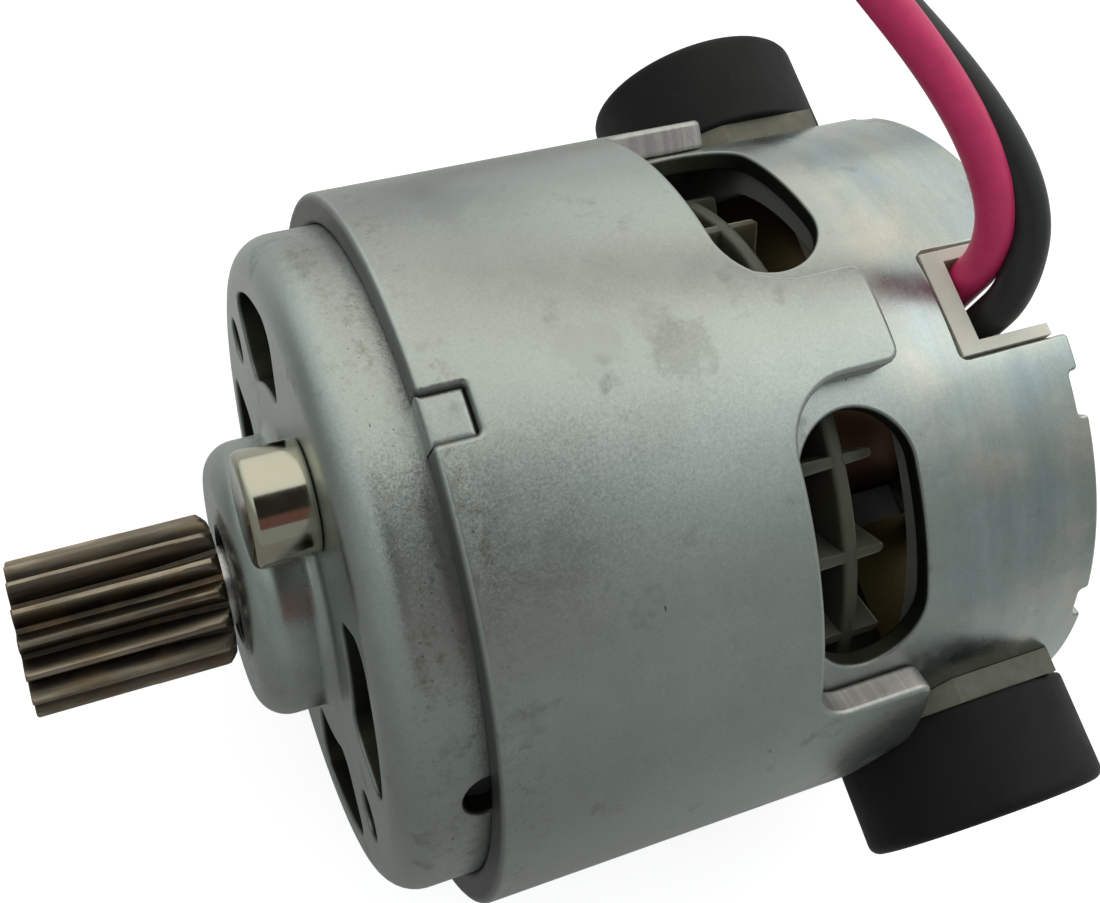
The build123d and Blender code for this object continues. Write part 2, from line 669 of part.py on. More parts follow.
def make_armature():
    for label, radius, front, rear in (
            ("armature_core", core_radius, CORE_FRONT, core_rear),
            ("core_insulator_front", core_radius - AIR_GAP, CORE_FRONT - INSULATOR_THICKNESS, CORE_FRONT),
            ("core_insulator_rear", core_radius - AIR_GAP, core_rear, core_rear + INSULATOR_THICKNESS)):
        with BuildPart() as stack:
            with BuildSketch(across(rear)):
                add(lamination(radius))
            extrude(amount=rear - front)
        save(stack.part, label)

    slot_top = core_radius - CORE_SHOE - WINDING_GAP
    turn_front = CORE_FRONT - INSULATOR_THICKNESS
    turn_rear = core_rear + INSULATOR_THICKNESS
    with BuildPart() as coils:
        with BuildSketch(across(turn_rear)):
            Circle(slot_top)
            Circle(CORE_HUB_RADIUS + WINDING_GAP, mode=Mode.SUBTRACT)
            for pole in range(POLES):
                turn = 90 + pole * 360 / POLES
                with Locations(polar(core_radius / 2, turn)):
                    Rectangle(core_radius, CORE_TOOTH_WIDTH + 2 * WINDING_GAP, rotation=turn,
                              mode=Mode.SUBTRACT)
        extrude(amount=turn_rear - turn_front)
        for near, far in ((turn_front, winding_front), (turn_rear, winding_rear)):
            with BuildSketch(Plane.XY):
                with BuildLine():
                    FilletPolyline((WINDING_INNER_RADIUS, near), (slot_top, near), (slot_top, far),
                                   (WINDING_INNER_RADIUS, far),
                                   radius=[0, 0, WINDING_ROUND, WINDING_ROUND], close=True)
                make_face()
            revolve(axis=Axis.Y)
        for pole in range(POLES):
            x, z = polar(LEADOUT_RADIUS, 90 + (pole + 0.5) * 360 / POLES)
            add(round_bar(LEADOUT_DIAMETER / 2, winding_rear - WINDING_ROUND, commutator_front, x, z))
    save(coils.part, "armature_windings")


def make_fan():
    with BuildPart() as fan:
        add(ring(bore_radius, FAN_HUB_RADIUS, core_rear + INSULATOR_THICKNESS, fan_hub_rear))
        add(ring(FAN_HUB_RADIUS - FREE_GAP, fan_radius, fan_disc_front, fan_disc_rear))
        for blade in range(FAN_BLADES):
            with BuildSketch(facing(FAN_TURN + blade * 360 / FAN_BLADES).offset(FAN_BLADE_INNER_RADIUS)):
                with BuildLine():
                    Polyline((fan_blade_front, -FAN_BLADE_TIP / 2), (fan_disc_front, -FAN_BLADE_ROOT / 2),
                             (fan_disc_rear, -FAN_BLADE_ROOT / 2), (fan_blade_rear, -FAN_BLADE_TIP / 2),
                             (fan_blade_rear, FAN_BLADE_TIP / 2), (fan_disc_rear, FAN_BLADE_ROOT / 2),
                             (fan_disc_front, FAN_BLADE_ROOT / 2), (fan_blade_front, FAN_BLADE_TIP / 2),
                             close=True)
                make_face()
            extrude(amount=fan_radius - FAN_BLADE_INNER_RADIUS - SEAT_GAP)
        for pole in range(POLES):
            x, z = polar(LEADOUT_RADIUS, 90 + (pole + 0.5) * 360 / POLES)
            add(round_bar(LEADOUT_DIAMETER, fan_blade_front, fan_blade_rear, x, z), mode=Mode.SUBTRACT)
    save(fan.part, "cooling_fan")


def make_commutator():
    hub_rear = commutator_rear + FREE_GAP
    save(ring(bore_radius, COMMUTATOR_CORE_RADIUS, fan_hub_rear, hub_rear), "commutator_hub")
    slot_angle = math.degrees(SEGMENT_SLOT / COMMUTATOR_RADIUS)
    hook_angle = math.degrees(HOOK_WIDTH / COMMUTATOR_RADIUS) / 2
    with BuildPart() as segments:
        for pole in range(POLES):
            centre = 90 + (pole + 0.5) * 360 / POLES
            half = 180 / POLES - slot_angle / 2
            add(sector_block(COMMUTATOR_CORE_RADIUS, COMMUTATOR_RADIUS, centre - half, centre + half,
                             commutator_front, commutator_rear))
            add(sector_block(COMMUTATOR_CORE_RADIUS + FREE_GAP, COMMUTATOR_RADIUS + HOOK_REACH,
                             centre - hook_angle, centre + hook_angle,
                             commutator_front, commutator_front + HOOK_LENGTH))
    save(segments.part, "commutator_segments")


def make_brush_gear(name, side):
    low, high = brush_station - BRUSH_WIDTH / 2, brush_station + BRUSH_WIDTH / 2
    with BuildPart() as brush:
        add(block(min(0, side * brush_rear), max(0, side * brush_rear), low, high,
                  -BRUSH_HEIGHT / 2, BRUSH_HEIGHT / 2))
        add(round_bar(brush_front, low - FREE_GAP, high + FREE_GAP), mode=Mode.SUBTRACT)
    save(brush.part, f"brush_{name}")

    with BuildPart() as box:
        x0, x1 = sorted((side * BOX_FRONT, side * box_rear))
        inner_low, inner_high = brush_station - box_half_width, brush_station + box_half_width
        add(block(x0, x1, inner_low - BOX_WALL, inner_high + BOX_WALL,
                  -box_half_height - BOX_WALL, box_half_height + BOX_WALL))
        x0, x1 = sorted((side * (BOX_FRONT - BOX_WALL), side * (box_rear - BOX_WALL)))
        add(block(x0, x1, inner_low, inner_high, -box_half_height, box_half_height), mode=Mode.SUBTRACT)
        slot_half = SHUNT_SLOT / 2
        x0, x1 = sorted((side * (brush_rear - SHUNT_DIAMETER - slot_half),
                         side * (brush_rear + BRUSH_TRAVEL)))
        add(block(x0, x1, brush_station, inner_high + BOX_WALL, -slot_half, slot_half), mode=Mode.SUBTRACT)
    save(box.part, f"brush_box_{name}")

    spring_rear = box_rear - BOX_WALL
    spring_length = spring_rear - brush_rear - SPRING_WIRE - 2 * SEAT_GAP
    with BuildPart() as spring:
        start = (side * (brush_rear + SPRING_WIRE / 2 + SEAT_GAP), brush_station, 0)
        with BuildLine() as coil:
            Helix(pitch=spring_length / SPRING_TURNS, height=spring_length, radius=SPRING_RADIUS,
                  center=start, direction=(side, 0, 0))
        with BuildSketch(Plane(origin=coil.line @ 0, z_dir=coil.line % 0)):
            Circle(SPRING_WIRE / 2)
        sweep()
    save(spring.part, f"brush_spring_{name}")

    shunt_x = side * (brush_rear - SHUNT_DIAMETER)
    anchor_x = side * (box_rear - SHUNT_DIAMETER)
    box_back = brush_station + box_half_width + BOX_WALL
    shunt_y = (box_back + cap_plate_front) / 2
    with BuildPart() as shunt:
        with BuildLine() as path:
            FilletPolyline((shunt_x, high, 0), (shunt_x, shunt_y, 0), (anchor_x, shunt_y, 0),
                           (anchor_x, box_back, 0), radius=SHUNT_DIAMETER / 2 + SEAT_GAP)
        with BuildSketch(Plane(origin=path.line @ 0, z_dir=path.line % 0)):
            Circle(SHUNT_DIAMETER / 2 - SEAT_GAP)
        sweep()
    save(shunt.part, f"brush_shunt_{name}")


def make_terminal(name, side, route):
    """Brass strip from the brush box to the crimp on the lead's conductor."""
    lead_x, lead_y, lead_z = route[0]
    strip_front = brush_station + box_half_width + BOX_WALL
    strip_rear = strip_front + TERMINAL_THICKNESS
    inner_x = BOX_FRONT + TERMINAL_WIDTH / 2
    top = lead_z - BARREL_LENGTH
    half = TERMINAL_WIDTH / 2
    with BuildPart() as terminal:
        with BuildSketch(across(strip_rear)):
            with BuildLine():
                Polyline((side * (inner_x - half), -box_half_height),
                         (side * (inner_x + half), -box_half_height),
                         (side * (inner_x + half), top - half),
                         (lead_x, top + half),
                         (lead_x, top - half),
                         (side * (inner_x - half), top - 3 * half),
                         close=True)
            make_face()
        extrude(amount=strip_rear - strip_front)
        with BuildSketch(Plane.XY.offset(top - half / 2)):
            with Locations((lead_x, (strip_front + lead_y) / 2)):
                Rectangle(CONDUCTOR_DIAMETER, abs(lead_y - strip_front) + CONDUCTOR_DIAMETER)
        extrude(amount=half)
        with BuildSketch(Plane.XY.offset(top - half / 2)):
            with Locations((lead_x, lead_y)):
                Circle(lead_radius)
        extrude(amount=lead_z - top + half / 2)
    save(terminal.part, f"terminal_{name}")


def make_end_cap():
    notch_half = LEAD_NOTCH_WIDTH / 2 - FREE_GAP / 2
    notch_front = CAN_LENGTH - LEAD_NOTCH_DEPTH + FREE_GAP / 2
    with BuildPart() as cap:
        add(ring(cap_inner, cap_radius, cap_front, cap_plate_rear))
        add(ring(0, cap_radius, cap_plate_front, cap_plate_rear))
        add(ring(0, CAP_BOSS_RADIUS, cap_boss_front, cap_boss_rear))
        fillet(cap.edges().filter_by(GeomType.CIRCLE).sort_by(Axis.Y)[-1], BEARING_CORNER)
        # pocket for felt, retainer and bush, and the way out for the shaft
        add(ring(0, FELT_RADIUS + RUNNING_GAP, 0, felt_rear + FREE_GAP), mode=Mode.SUBTRACT)
        add(ring(0, BUSH_DIAMETER / 2 + SEAT_GAP, 0, bush_rear), mode=Mode.SUBTRACT)
        add(ring(0, shaft_radius + BEARING_CORNER, 0, shaft_rear), mode=Mode.SUBTRACT)
        # air openings in the end plate
        for centre in CAP_VENT_ANGLES:
            add(sector_block(CAP_BOSS_RADIUS + CAP_WALL, cap_inner - CAP_WALL / 2,
                             centre - CAP_VENT_HALF_ANGLE, centre + CAP_VENT_HALF_ANGLE,
                             cap_plate_front, cap_plate_rear, CAP_VENT_CORNER), mode=Mode.SUBTRACT)
        # pads behind the brush boxes
        pad_front = brush_station + box_half_width + BOX_WALL
        for side in SIDES.values():
            pad_inner = side * (BOX_FRONT + TERMINAL_WIDTH + FREE_GAP * 2)
            for bottom, top in ((SHUNT_SLOT, box_half_height), (-box_half_height, -SHUNT_SLOT)):
                x0, x1 = sorted((pad_inner, side * box_rear))
                add(block(x0, x1, pad_front, cap_plate_front, bottom, top))
        # frame round the lead opening
        add(block(-notch_half, notch_half, notch_front, cap_plate_rear + FREE_GAP,
                  cap_inner, cap_frame_top))
        lead_slot = radial_cut(90, notch_front + CAP_FRAME_FRONT_BAR, shaft_rear,
                               2 * (notch_half - CAP_FRAME_BAR))
        inside = ring(0, CAP_BOSS_RADIUS + FREE_GAP * 2, 0, shaft_rear)
        add(lead_slot - inside, mode=Mode.SUBTRACT)
    save(cap.part, "end_cap")


def make_rear_bearing():
    bush_radius = BUSH_DIAMETER / 2
    seat_radius = bush_radius + SEAT_GAP
    save(ring(shaft_radius + RUNNING_GAP, bush_radius, bush_front, bush_rear), "rear_bush")
    save(ring(seat_radius, FELT_RADIUS, felt_front, felt_rear), "oil_felt")
    save(ring(seat_radius, FELT_RADIUS, bush_front, felt_front), "bush_retainer")


def corner_radii(route):
    """Arc at each corner: 0.45 of the shorter run over the tangent of half the turn."""
    radii = []
    for before, here, after in zip(route, route[1:], route[2:]):
        run_in = Vector(*here) - Vector(*before)
        run_out = Vector(*after) - Vector(*here)
        half_turn = math.radians(run_in.get_angle(run_out)) / 2
        radii.append(0.45 * min(run_in.length, run_out.length) / math.tan(half_turn))
    return radii


def make_lead(colour, route):
    radii = corner_radii(route)
    with BuildPart() as lead:
        with BuildLine() as path:
            FilletPolyline(*route, radius=radii)
        with BuildSketch(Plane(origin=path.line @ 0, z_dir=path.line % 0)):
            Circle(lead_radius)
        sweep()
    length = sum(edge.length for edge in path.edges())
    volume_ratio = lead.part.volume / (math.pi * lead_radius ** 2 * length)
    print(colour, "lead length", round(length, 2), "radii", [round(r, 1) for r in radii],
          "volume ratio", round(volume_ratio, 4))
    save(lead.part, f"lead_{colour}")


def make_connector(colour, route):
    """Female blade connector on the lead's end, which points rearward, its crimp under a shrunk sleeve."""
    x, y, z = route[-1]
    barrel_end = y + BARREL_LENGTH
    half_width = BLADE_WIDTH / 2
    with BuildPart() as connector:
        add(round_bar(BARREL_DIAMETER / 2, y, barrel_end, x, z))
        with BuildSketch(across(barrel_end + CONNECTOR_LENGTH)):
            with Locations((x, z - CURL_RADIUS)):
                Rectangle(BLADE_WIDTH, CONNECTOR_PLATE)
            for side in SIDES.values():
                with Locations((x + side * (half_width - CURL_RADIUS / 2), z)):
                    Circle(CURL_RADIUS + CONNECTOR_PLATE / 2)
                    Circle(CURL_RADIUS - CONNECTOR_PLATE / 2, mode=Mode.SUBTRACT)
        extrude(amount=CONNECTOR_LENGTH)
    save(connector.part, f"connector_{colour}")

    sleeve_inner = BARREL_DIAMETER / 2 + SEAT_GAP
    sleeve_rear = barrel_end - FREE_GAP
    sleeve = (round_bar(sleeve_inner + SLEEVE_WALL, sleeve_rear - SLEEVE_LENGTH, sleeve_rear, x, z)
              - round_bar(sleeve_inner, sleeve_rear - SLEEVE_LENGTH, sleeve_rear, x, z))
    save(sleeve, f"sleeve_{colour}")


make_motor_can()
make_flux_ring()
make_locating_pin()
make_dampers()
make_front_bearing()
make_shaft_line()
make_magnets()
make_armature()
make_fan()
make_commutator()
for brush_name, brush_side in SIDES.items():
    make_brush_gear(brush_name, brush_side)
make_terminal("left", SIDES["left"], red_route)
make_terminal("right", SIDES["right"], black_route)
make_end_cap()
make_rear_bearing()
for lead_colour, lead_route in (("red", red_route), ("black", black_route)):
    make_lead(lead_colour, lead_route)
    make_connector(lead_colour, lead_route)
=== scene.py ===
import math

import bpy
import numpy as np
from bpy.props import FloatProperty, FloatVectorProperty, IntProperty, PointerProperty
from mathutils import Matrix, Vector
from mathutils.geometry import delaunay_2d_cdt


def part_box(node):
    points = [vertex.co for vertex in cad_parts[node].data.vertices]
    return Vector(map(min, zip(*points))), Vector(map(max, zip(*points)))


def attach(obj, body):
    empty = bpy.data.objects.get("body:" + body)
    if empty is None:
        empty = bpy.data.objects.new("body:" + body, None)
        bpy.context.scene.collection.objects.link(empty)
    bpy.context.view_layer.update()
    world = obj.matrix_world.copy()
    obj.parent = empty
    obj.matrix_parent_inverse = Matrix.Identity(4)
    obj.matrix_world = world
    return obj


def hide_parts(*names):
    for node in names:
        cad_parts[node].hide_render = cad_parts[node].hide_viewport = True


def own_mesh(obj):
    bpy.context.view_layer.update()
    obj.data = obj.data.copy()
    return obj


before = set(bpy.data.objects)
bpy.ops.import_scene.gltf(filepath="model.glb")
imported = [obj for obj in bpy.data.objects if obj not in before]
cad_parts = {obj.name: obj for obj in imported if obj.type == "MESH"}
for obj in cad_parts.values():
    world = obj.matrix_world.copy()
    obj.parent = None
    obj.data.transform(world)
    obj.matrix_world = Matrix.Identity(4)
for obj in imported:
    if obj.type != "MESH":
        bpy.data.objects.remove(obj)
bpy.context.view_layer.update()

bl_info = {
    "name": "Vented Motor Looks",
    "version": (1, 0, 0),
    "blender": (4, 5, 0),
    "location": "View3D > Sidebar > Motor",
    "description": "Visible pieces and finishes of a vented brushed motor, built round its packed frame",
    "category": "Object",
}

MM = 0.001
TAU = 2 * math.pi


def corners_of(node):
    """Lowest and highest corner of a frame node as arrays."""
    lowest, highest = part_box(node)
    return np.array(lowest), np.array(highest)


# Sizes that the frame gives
CAN_LOW, CAN_HIGH = corners_of("motor_can")
RING_LOW, RING_HIGH = corners_of("flux_ring")
CAN_RADIUS = CAN_HIGH[0]
RIM = CAN_HIGH[1]
BOSS_FRONT = CAN_LOW[1]
RING_RADIUS = min(RING_HIGH[0], -RING_LOW[2])
RING_FRONT, RING_REAR = RING_LOW[1], RING_HIGH[1]
FLOOR_LEVEL = -RING_RADIUS

# How finely the can and the ring are drawn: columns of their grids, how near a grid point may come to an
# outline as a share of a column, the steps along the outlines, and the angles along a rounded edge
SHEET_COLUMNS = 180
SHEET_GAP = 0.45
RIM_STEP, TAB_STEP, VENT_STEP, SLOT_STEP = 0.6 * MM, 0.5 * MM, 0.45 * MM, 0.4 * MM
HOLE_POINTS, SIDE_HOLE_POINTS, BITE_POINTS = 32, 24, 60
EDGE_ANGLES = (22.5, 45.0, 67.5, 90.0)
EDGE_SHARE = 0.25                                            # of a cut that its rounded edge counts for
PROFILE_STEP = 0.08 * MM

# Sizes of the can that a box doesn't give
CAN_START = -90.0                                            # the angle of its seam
BOSS_HOLE_RADIUS = 3.8 * MM
BORE_STEPS = 73                                              # one every 5 degrees
BOSS_RADIUS = 8.75 * MM
BOSS_NOSE_RADIUS = 2.1 * MM
BOSS_ROOT_RADIUS = 0.75 * MM
BOSS_SKIN = 0.68 * MM
FRONT_EDGE_RADIUS = 2.4 * MM
FRONT_SKIN = 1.5 * MM
CAN_SKIN = 1.3 * MM
SKIN_CHANGES = (1.2 * MM, 0.4 * MM, 3 * MM)                  # before and after the root, after the edge
CAN_ROW_STEPS = (0.3 * MM, 0.8 * MM, 0.4 * MM, 0.9 * MM)     # on the boss, face, front edge and wall
CAN_EDGE_ROWS, CAN_EDGE_GAP = 4.2 * MM, 0.7 * MM             # length with the edge's step, gap after
FRONT_VENT = (12.0 * MM, 17.7 * MM, 38.0, 19.5, 1.6 * MM)    # radii, angle, half angle, corner
FRONT_VENT_TURN = 2.5
MOUNT_HOLE = (16.0 * MM, 1.55 * MM)                          # from the shaft, radius
PIN_HOLE_RADIUS = 1.83 * MM
SIDE_VENT_ANGLE = 34.6
SIDE_VENT_HALF_ANGLE = 22.2
SIDE_VENT_STATIONS = (25.3 * MM, 32.8 * MM)
SIDE_VENT_ROUNDNESS = 0.999                                  # its corners as a share of a half circle
LEAD_NOTCH = (7.1 * MM, 7.5 * MM, 0.5 * MM)                  # width, depth, corner
CRIMPS = ((28.0, 34.0), (66.5, 74.0))                        # first and last angle of each notch
CRIMP_DEPTH = 0.7 * MM
CRIMP_CORNER = 0.3 * MM
SIDE_HOLE = (31.5, 1.5 * MM)                                 # angle, radius
LUG = (2.84 * MM, 2.67 * MM, 1.86 * MM)                      # width, length, height
LUG_SINK = 0.3 * MM                                          # depth of its foot in the can's wall
LUG_EDGE = (0.22, 0.3 * MM)                                  # share of the half plan, drop
LUG_STEPS = 17

# The ring
RING_SKIN = 1.97 * MM
RING_ROWS = (0.7 * MM, 0.85 * MM)                            # the first, step
RING_START = -45.0                                           # the angle of its seam
TAB_LENGTH = 7.8 * MM
NARROW_TAB_HALF_ANGLE = 8.0
WIDE_TAB_HALF_ANGLE = 30.0
NARROW_ROOT_RADIUS = 4.0 * MM
WIDE_ROOT_RADIUS = 2.2 * MM
TAB_CORNER = 0.9 * MM
RING_NOTCH = (2.9 * MM, 2.7 * MM, 0.4 * MM, 0.26 * MM)       # width, depth, mouth and floor corners
DAMPER_CLEARANCE = 0.3 * MM                                  # of a wide tab's bite
BITE_SOFTNESS = 0.18 * MM
BITE_MARGIN = 2.0 * MM                                       # straight edge on each side of a bite

# Finely turned pieces
DAMPER_RECESS = (1.3 * MM, 1.6 * MM, 0.25 * MM)              # radii of its floor and mouth, depth
PIN_HOLE_GAP = 0.03 * MM
PIN_RIVET = (2.5 * MM, 1.6 * MM)                             # radius, station of its face
FINE_SEGMENTS, FAN_SEGMENTS = 112, 144

# The pinion. Its tooth is half the crest and the flank as shares of half a pitch, the power that
# rounds it, and how far it falls off towards the root
SHAFT_FIT_RADIUS = 2.53 * MM
PINION_TIP_RADIUS = 4.8 * MM
PINION_ROOT_RADIUS = 3.62 * MM
PINION_CREST_RADIUS = 4.15 * MM                               # inside it the teeth are darkest, painted shade in the roots; from here out they are bright
PINION_TOOTH = (0.17, 0.62, 0.85, 0.10)
PINION_TOOTH_STEPS = 28
PINION_RUNOUT = (4.6 * MM, 0.45 * MM, 1.5)                   # length, rise of the root, power
PINION_WANDER = (5.0 * MM, 0.02 * MM, 3, 1.3)                # length, unevenness, waves, their start
PINION_FACE = (SHAFT_FIT_RADIUS, 3.0 * MM, 3.5 * MM)         # radii of the front face
PINION_FRONT = ((0.0, 0.05, 0.10, 0.25), (4.66, 4.73, 4.80, 5.0))           # depth, radius in mm
PINION_REAR = ((0.75, 0.5, 0.25, 0.08, 0.0), (5.0, 4.78, 4.52, 4.3, 4.2))   # depth, radius in mm
PINION_BACK = (3.2 * MM, SHAFT_FIT_RADIUS)                   # radii of the rear face
PINION_MIDDLE = (0.8 * MM, 1.0 * MM, 30)                     # from the front, from the rear, rows
PINION_FREE_RADIUS = 5.2 * MM                                # a limit that no tooth reaches
PINION_SOFTNESS = 0.02 * MM
PINION_BORE_STEPS = 8
PINION_SHARP, LUG_SHARP, BLADE_SHARP = 38, 50, 40            # degrees from which an edge is sharp

# The windings
COILS = 5
COIL_START, COIL_PITCH, COIL_SPAN = 54, 72, 144              # degrees
COIL_SCATTER, COIL_SEED = 0.10, 7                            # radians
COIL_LAYERS = 4
COIL_RADII = (6.6, 5.4)                                      # lowest, spread, in mm
COIL_HEADS = (0.6, 2.0)                                      # shortest, growth, in mm
COIL_FRONT_SHARE = 0.8                                       # reach of a front head to a rear one
COIL_OVERHANG = 0.5 * MM                                     # straight run past the core
COIL_ARCH, COIL_DIP = 0.45, 0.10                             # power, share
COIL_STEPS = (12, 40)                                        # along a slot, round a head

# The fan
FAN_HUB = (4.8 * MM, 2.2 * MM)                               # radius, height behind the disc
FAN_DISC_THICKNESS = 1.0 * MM
FAN_BLADE = (9.6 * MM, 2.5 * MM, 1.8 * MM, 0.85 * MM, 0.55 * MM)    # start, two heights, two widths
FAN_BLADES = (19, 12.0)                                      # count, angle of the first
FAN_BLADE_TIP = (0.2 * MM, 0.05 * MM, 0.93)                  # start and end before the rim, narrowing

# The brush springs
SPRING_WIRE_RADIUS = 0.15 * MM
SPRING_TURNS = 4
SPRING_STEPS, SPRING_SIDES = 161, 10

# Looks of the finishes: stations in millimetres between which the plating goes smooth at the rear and
# on the boss, stations between which painted shade greys the cap deep in the can and how much, and the
# colours of dirt and of that painted shade
PLATE_SMOOTH_REAR = (32.0, 35.5)
PLATE_SMOOTH_BOSS = (1.0, -0.6)
CAP_SHADE = (37.5, 33.5, 0.0, 0.85)
CORE_LINES = 0.318                                           # wave scale that gives one line per mm
OILY_DIRT = (0.15, 0.145, 0.085)
PIT_FLOOR = (0.055, 0.055, 0.04)
SMUDGE = (0.13, 0.13, 0.11)
RUBBED = (0.12, 0.12, 0.10)
OLD_OIL = (0.155, 0.095, 0.045)
CAP_SHADE_GREY = (0.10, 0.095, 0.085)
SLEEVES = {"red": (0.30, 0.012, 0.02), "black": (0.012, 0.012, 0.012)}

# Rubbed patches of the plating: place and size in millimetres, and how dark
RUBBED_PATCHES = (
    (-0.4, 20.2, 23.0, 2.0, 0.34),
    (-1.9, 19.1, 22.9, 1.5, 0.16),
    (-1.7, 14.9, 22.9, 1.9, 0.12),
    (8.2, 10.2, 21.5, 1.7, 0.14),
    (3.7, 17.1, 22.7, 2.0, 0.1),
    (-14.4, 11.2, 17.9, 2.4, 0.1),
)

# Leads: the same points as the frame's two tubes, from the terminals to the connectors
RED_ROUTE = (
    (-0.00133, 0.04030, 0.01460),
    (-0.00133, 0.04030, 0.01860),
    (-0.00150, 0.04070, 0.02340),
    (-0.00410, 0.04020, 0.02700),
    (-0.00900, 0.03710, 0.03130),
    (-0.01620, 0.03120, 0.03570),
    (-0.02500, 0.02580, 0.03880),
    (-0.03500, 0.01990, 0.03800),
    (-0.04550, 0.01500, 0.03300),
    (-0.05450, 0.01200, 0.02450),
    (-0.06100, 0.01050, 0.01350),
    (-0.06530, 0.01050, 0.00150),
    (-0.06760, 0.01300, -0.01000),
    (-0.06800, 0.01950, -0.01840),
    (-0.06750, 0.02800, -0.02085),
    (-0.06750, 0.03600, -0.02085),
)
BLACK_ROUTE = (
    (0.00138, 0.04045, 0.01460),
    (0.00138, 0.04045, 0.01880),
    (0.00090, 0.04160, 0.02280),
    (-0.00260, 0.04250, 0.02640),
    (-0.00840, 0.03990, 0.02960),
    (-0.01560, 0.03330, 0.03380),
    (-0.02460, 0.02750, 0.03640),
    (-0.03420, 0.02270, 0.03540),
    (-0.04320, 0.02330, 0.03050),
    (-0.05030, 0.02100, 0.02100),
    (-0.05450, 0.02000, 0.00950),
    (-0.05680, 0.02050, -0.00250),
    (-0.05790, 0.02270, -0.01250),
    (-0.05820, 0.02750, -0.01880),
    (-0.05770, 0.03450, -0.02085),
    (-0.05770, 0.04150, -0.02085),
)
LEAD_DIAMETER = 2.4 * MM
LEAD_BEVEL_STEPS, LEAD_STEPS = 6, 24

# Camera: place, the directions of its right, down and forward, lens and sensor in millimetres, shift
CAMERA_PLACE = (0.023770, -0.011574, 0.095225)
CAMERA_RIGHT = (0.31997546, 0.92231744, 0.21667081)
CAMERA_DOWN = (0.89024493, -0.21444828, -0.40184063)
CAMERA_FORWARD = (-0.32415994, 0.32146923, -0.88970662)
CAMERA_LENS, CAMERA_SENSOR = 49.52, 36.0
CAMERA_NEAR, CAMERA_FAR = 0.005, 5.0
CAMERA_SHIFT = (-0.0235, -0.1055)

# Light: where the window is, how bright the room and the window are, their tints, and the cosines of
# the angle to the window between which the one goes over to the other
WINDOW_SIDE = (-0.70, 0.25, 0.67)
ROOM_LEVEL, WINDOW_LEVEL = 0.43, 1.45
ROOM_TINT, WINDOW_TINT = (0.93, 1.0, 0.98), (1.0, 0.985, 0.92)
TINT_CHANGE, LEVEL_CHANGE = (0.55, 0.99), (0.0, 0.9)

# The dark screen beside the camera: its corners, where it ends, how soft its end is, its colour and
# the colour beyond
SCREEN_LOW, SCREEN_HIGH = (-0.007, -0.016, 0.0985), (0.145, 0.036, 0.0985)
SCREEN_END, SCREEN_SOFTNESS = 0.066, 0.006
SCREEN_DARK, SCREEN_BEYOND = (0.030, 0.027, 0.025), (0.22, 0.11, 0.10)

# Floor: half its size, the direction in which painted shade darkens it, half the distance that this
# takes, its two greys, its grey and glow where it is seen directly, and how much of that reflections
# show
FLOOR_REACH = 0.8
FLOOR_LEAN, FLOOR_FADE = (0.6, -0.8, 0.0), 0.03
FLOOR_GREYS = (0.70, 0.26)
FLOOR_GAP = 0.02 * MM                                        # under the ring, so that they don't meet
FLOOR_SEEN, FLOOR_LIFT, FLOOR_IN_GLOSS = 0.40, 0.80, 0.08

LAMP_PLACE, LAMP_SIZE = (-0.06, 0.32, 0.42), (0.26, 0.22)
LAMP_POWER, LAMP_TINT = 0.16, (1.0, 0.985, 0.95)


# ---------------------------------------------------------------- settings


class MotorSizes(bpy.types.PropertyGroup):
    """Sizes that a user may change without touching the frame."""

    sheet_edge: FloatProperty(
        name="Sheet edge", description="Rounding along every cut edge of the can",
        default=0.2 * MM, min=0.05 * MM, max=0.28 * MM, precision=5, unit="LENGTH")
    ring_edge: FloatProperty(
        name="Ring edge", description="Rounding along the edges of the flux ring",
        default=0.36 * MM, min=0.05 * MM, max=0.38 * MM, precision=5, unit="LENGTH")
    pinion_teeth: IntProperty(
        name="Pinion teeth", description="Teeth round the pinion", default=15, min=9, max=30)
    coil_turns: IntProperty(
        name="Turns per coil", description="Wires that show in each of the five coils",
        default=16, min=4, max=30)
    wire_diameter: FloatProperty(
        name="Winding wire", description="Diameter of the enamelled wire",
        default=0.55 * MM, min=0.2 * MM, max=0.9 * MM, precision=5, unit="LENGTH")


class MotorColours(bpy.types.PropertyGroup):
    """Colours of the main finishes."""

    zinc: FloatVectorProperty(
        name="Zinc", description="Satin zinc plating of the can and the ring", subtype="COLOR",
        size=3, default=(0.343, 0.373, 0.350), min=0, max=1)
    nickel: FloatVectorProperty(
        name="Nickel", description="Polished plating of the locating pin", subtype="COLOR",
        size=3, default=(0.39, 0.375, 0.30), min=0, max=1)
    pinion: FloatVectorProperty(
        name="Pinion", description="Oiled, hardened steel of the pinion", subtype="COLOR",
        size=3, default=(0.30, 0.255, 0.195), min=0, max=1)
    rubber: FloatVectorProperty(
        name="Rubber", description="Damper rubber", subtype="COLOR",
        size=3, default=(0.0036, 0.0036, 0.0034), min=0, max=1)
    red_lead: FloatVectorProperty(
        name="Red lead", description="Insulation of the red lead", subtype="COLOR",
        size=3, default=(0.62, 0.030, 0.135), min=0, max=1)
    black_lead: FloatVectorProperty(
        name="Black lead", description="Insulation of the black lead", subtype="COLOR",
        size=3, default=(0.014, 0.014, 0.014), min=0, max=1)
    nylon: FloatVectorProperty(
        name="Nylon", description="Natural nylon of the end cap", subtype="COLOR",
        size=3, default=(0.62, 0.60, 0.53), min=0, max=1)
    enamel: FloatVectorProperty(
        name="Enamel", description="Enamelled copper wire", subtype="COLOR",
        size=3, default=(0.42, 0.095, 0.03), min=0, max=1)


# ---------------------------------------------------------------- lines and surfaces


def unit_rows(vectors):
    """Each row of an array divided by its length."""
    return vectors / np.maximum(np.linalg.norm(vectors, axis=-1, keepdims=True), 1e-12)


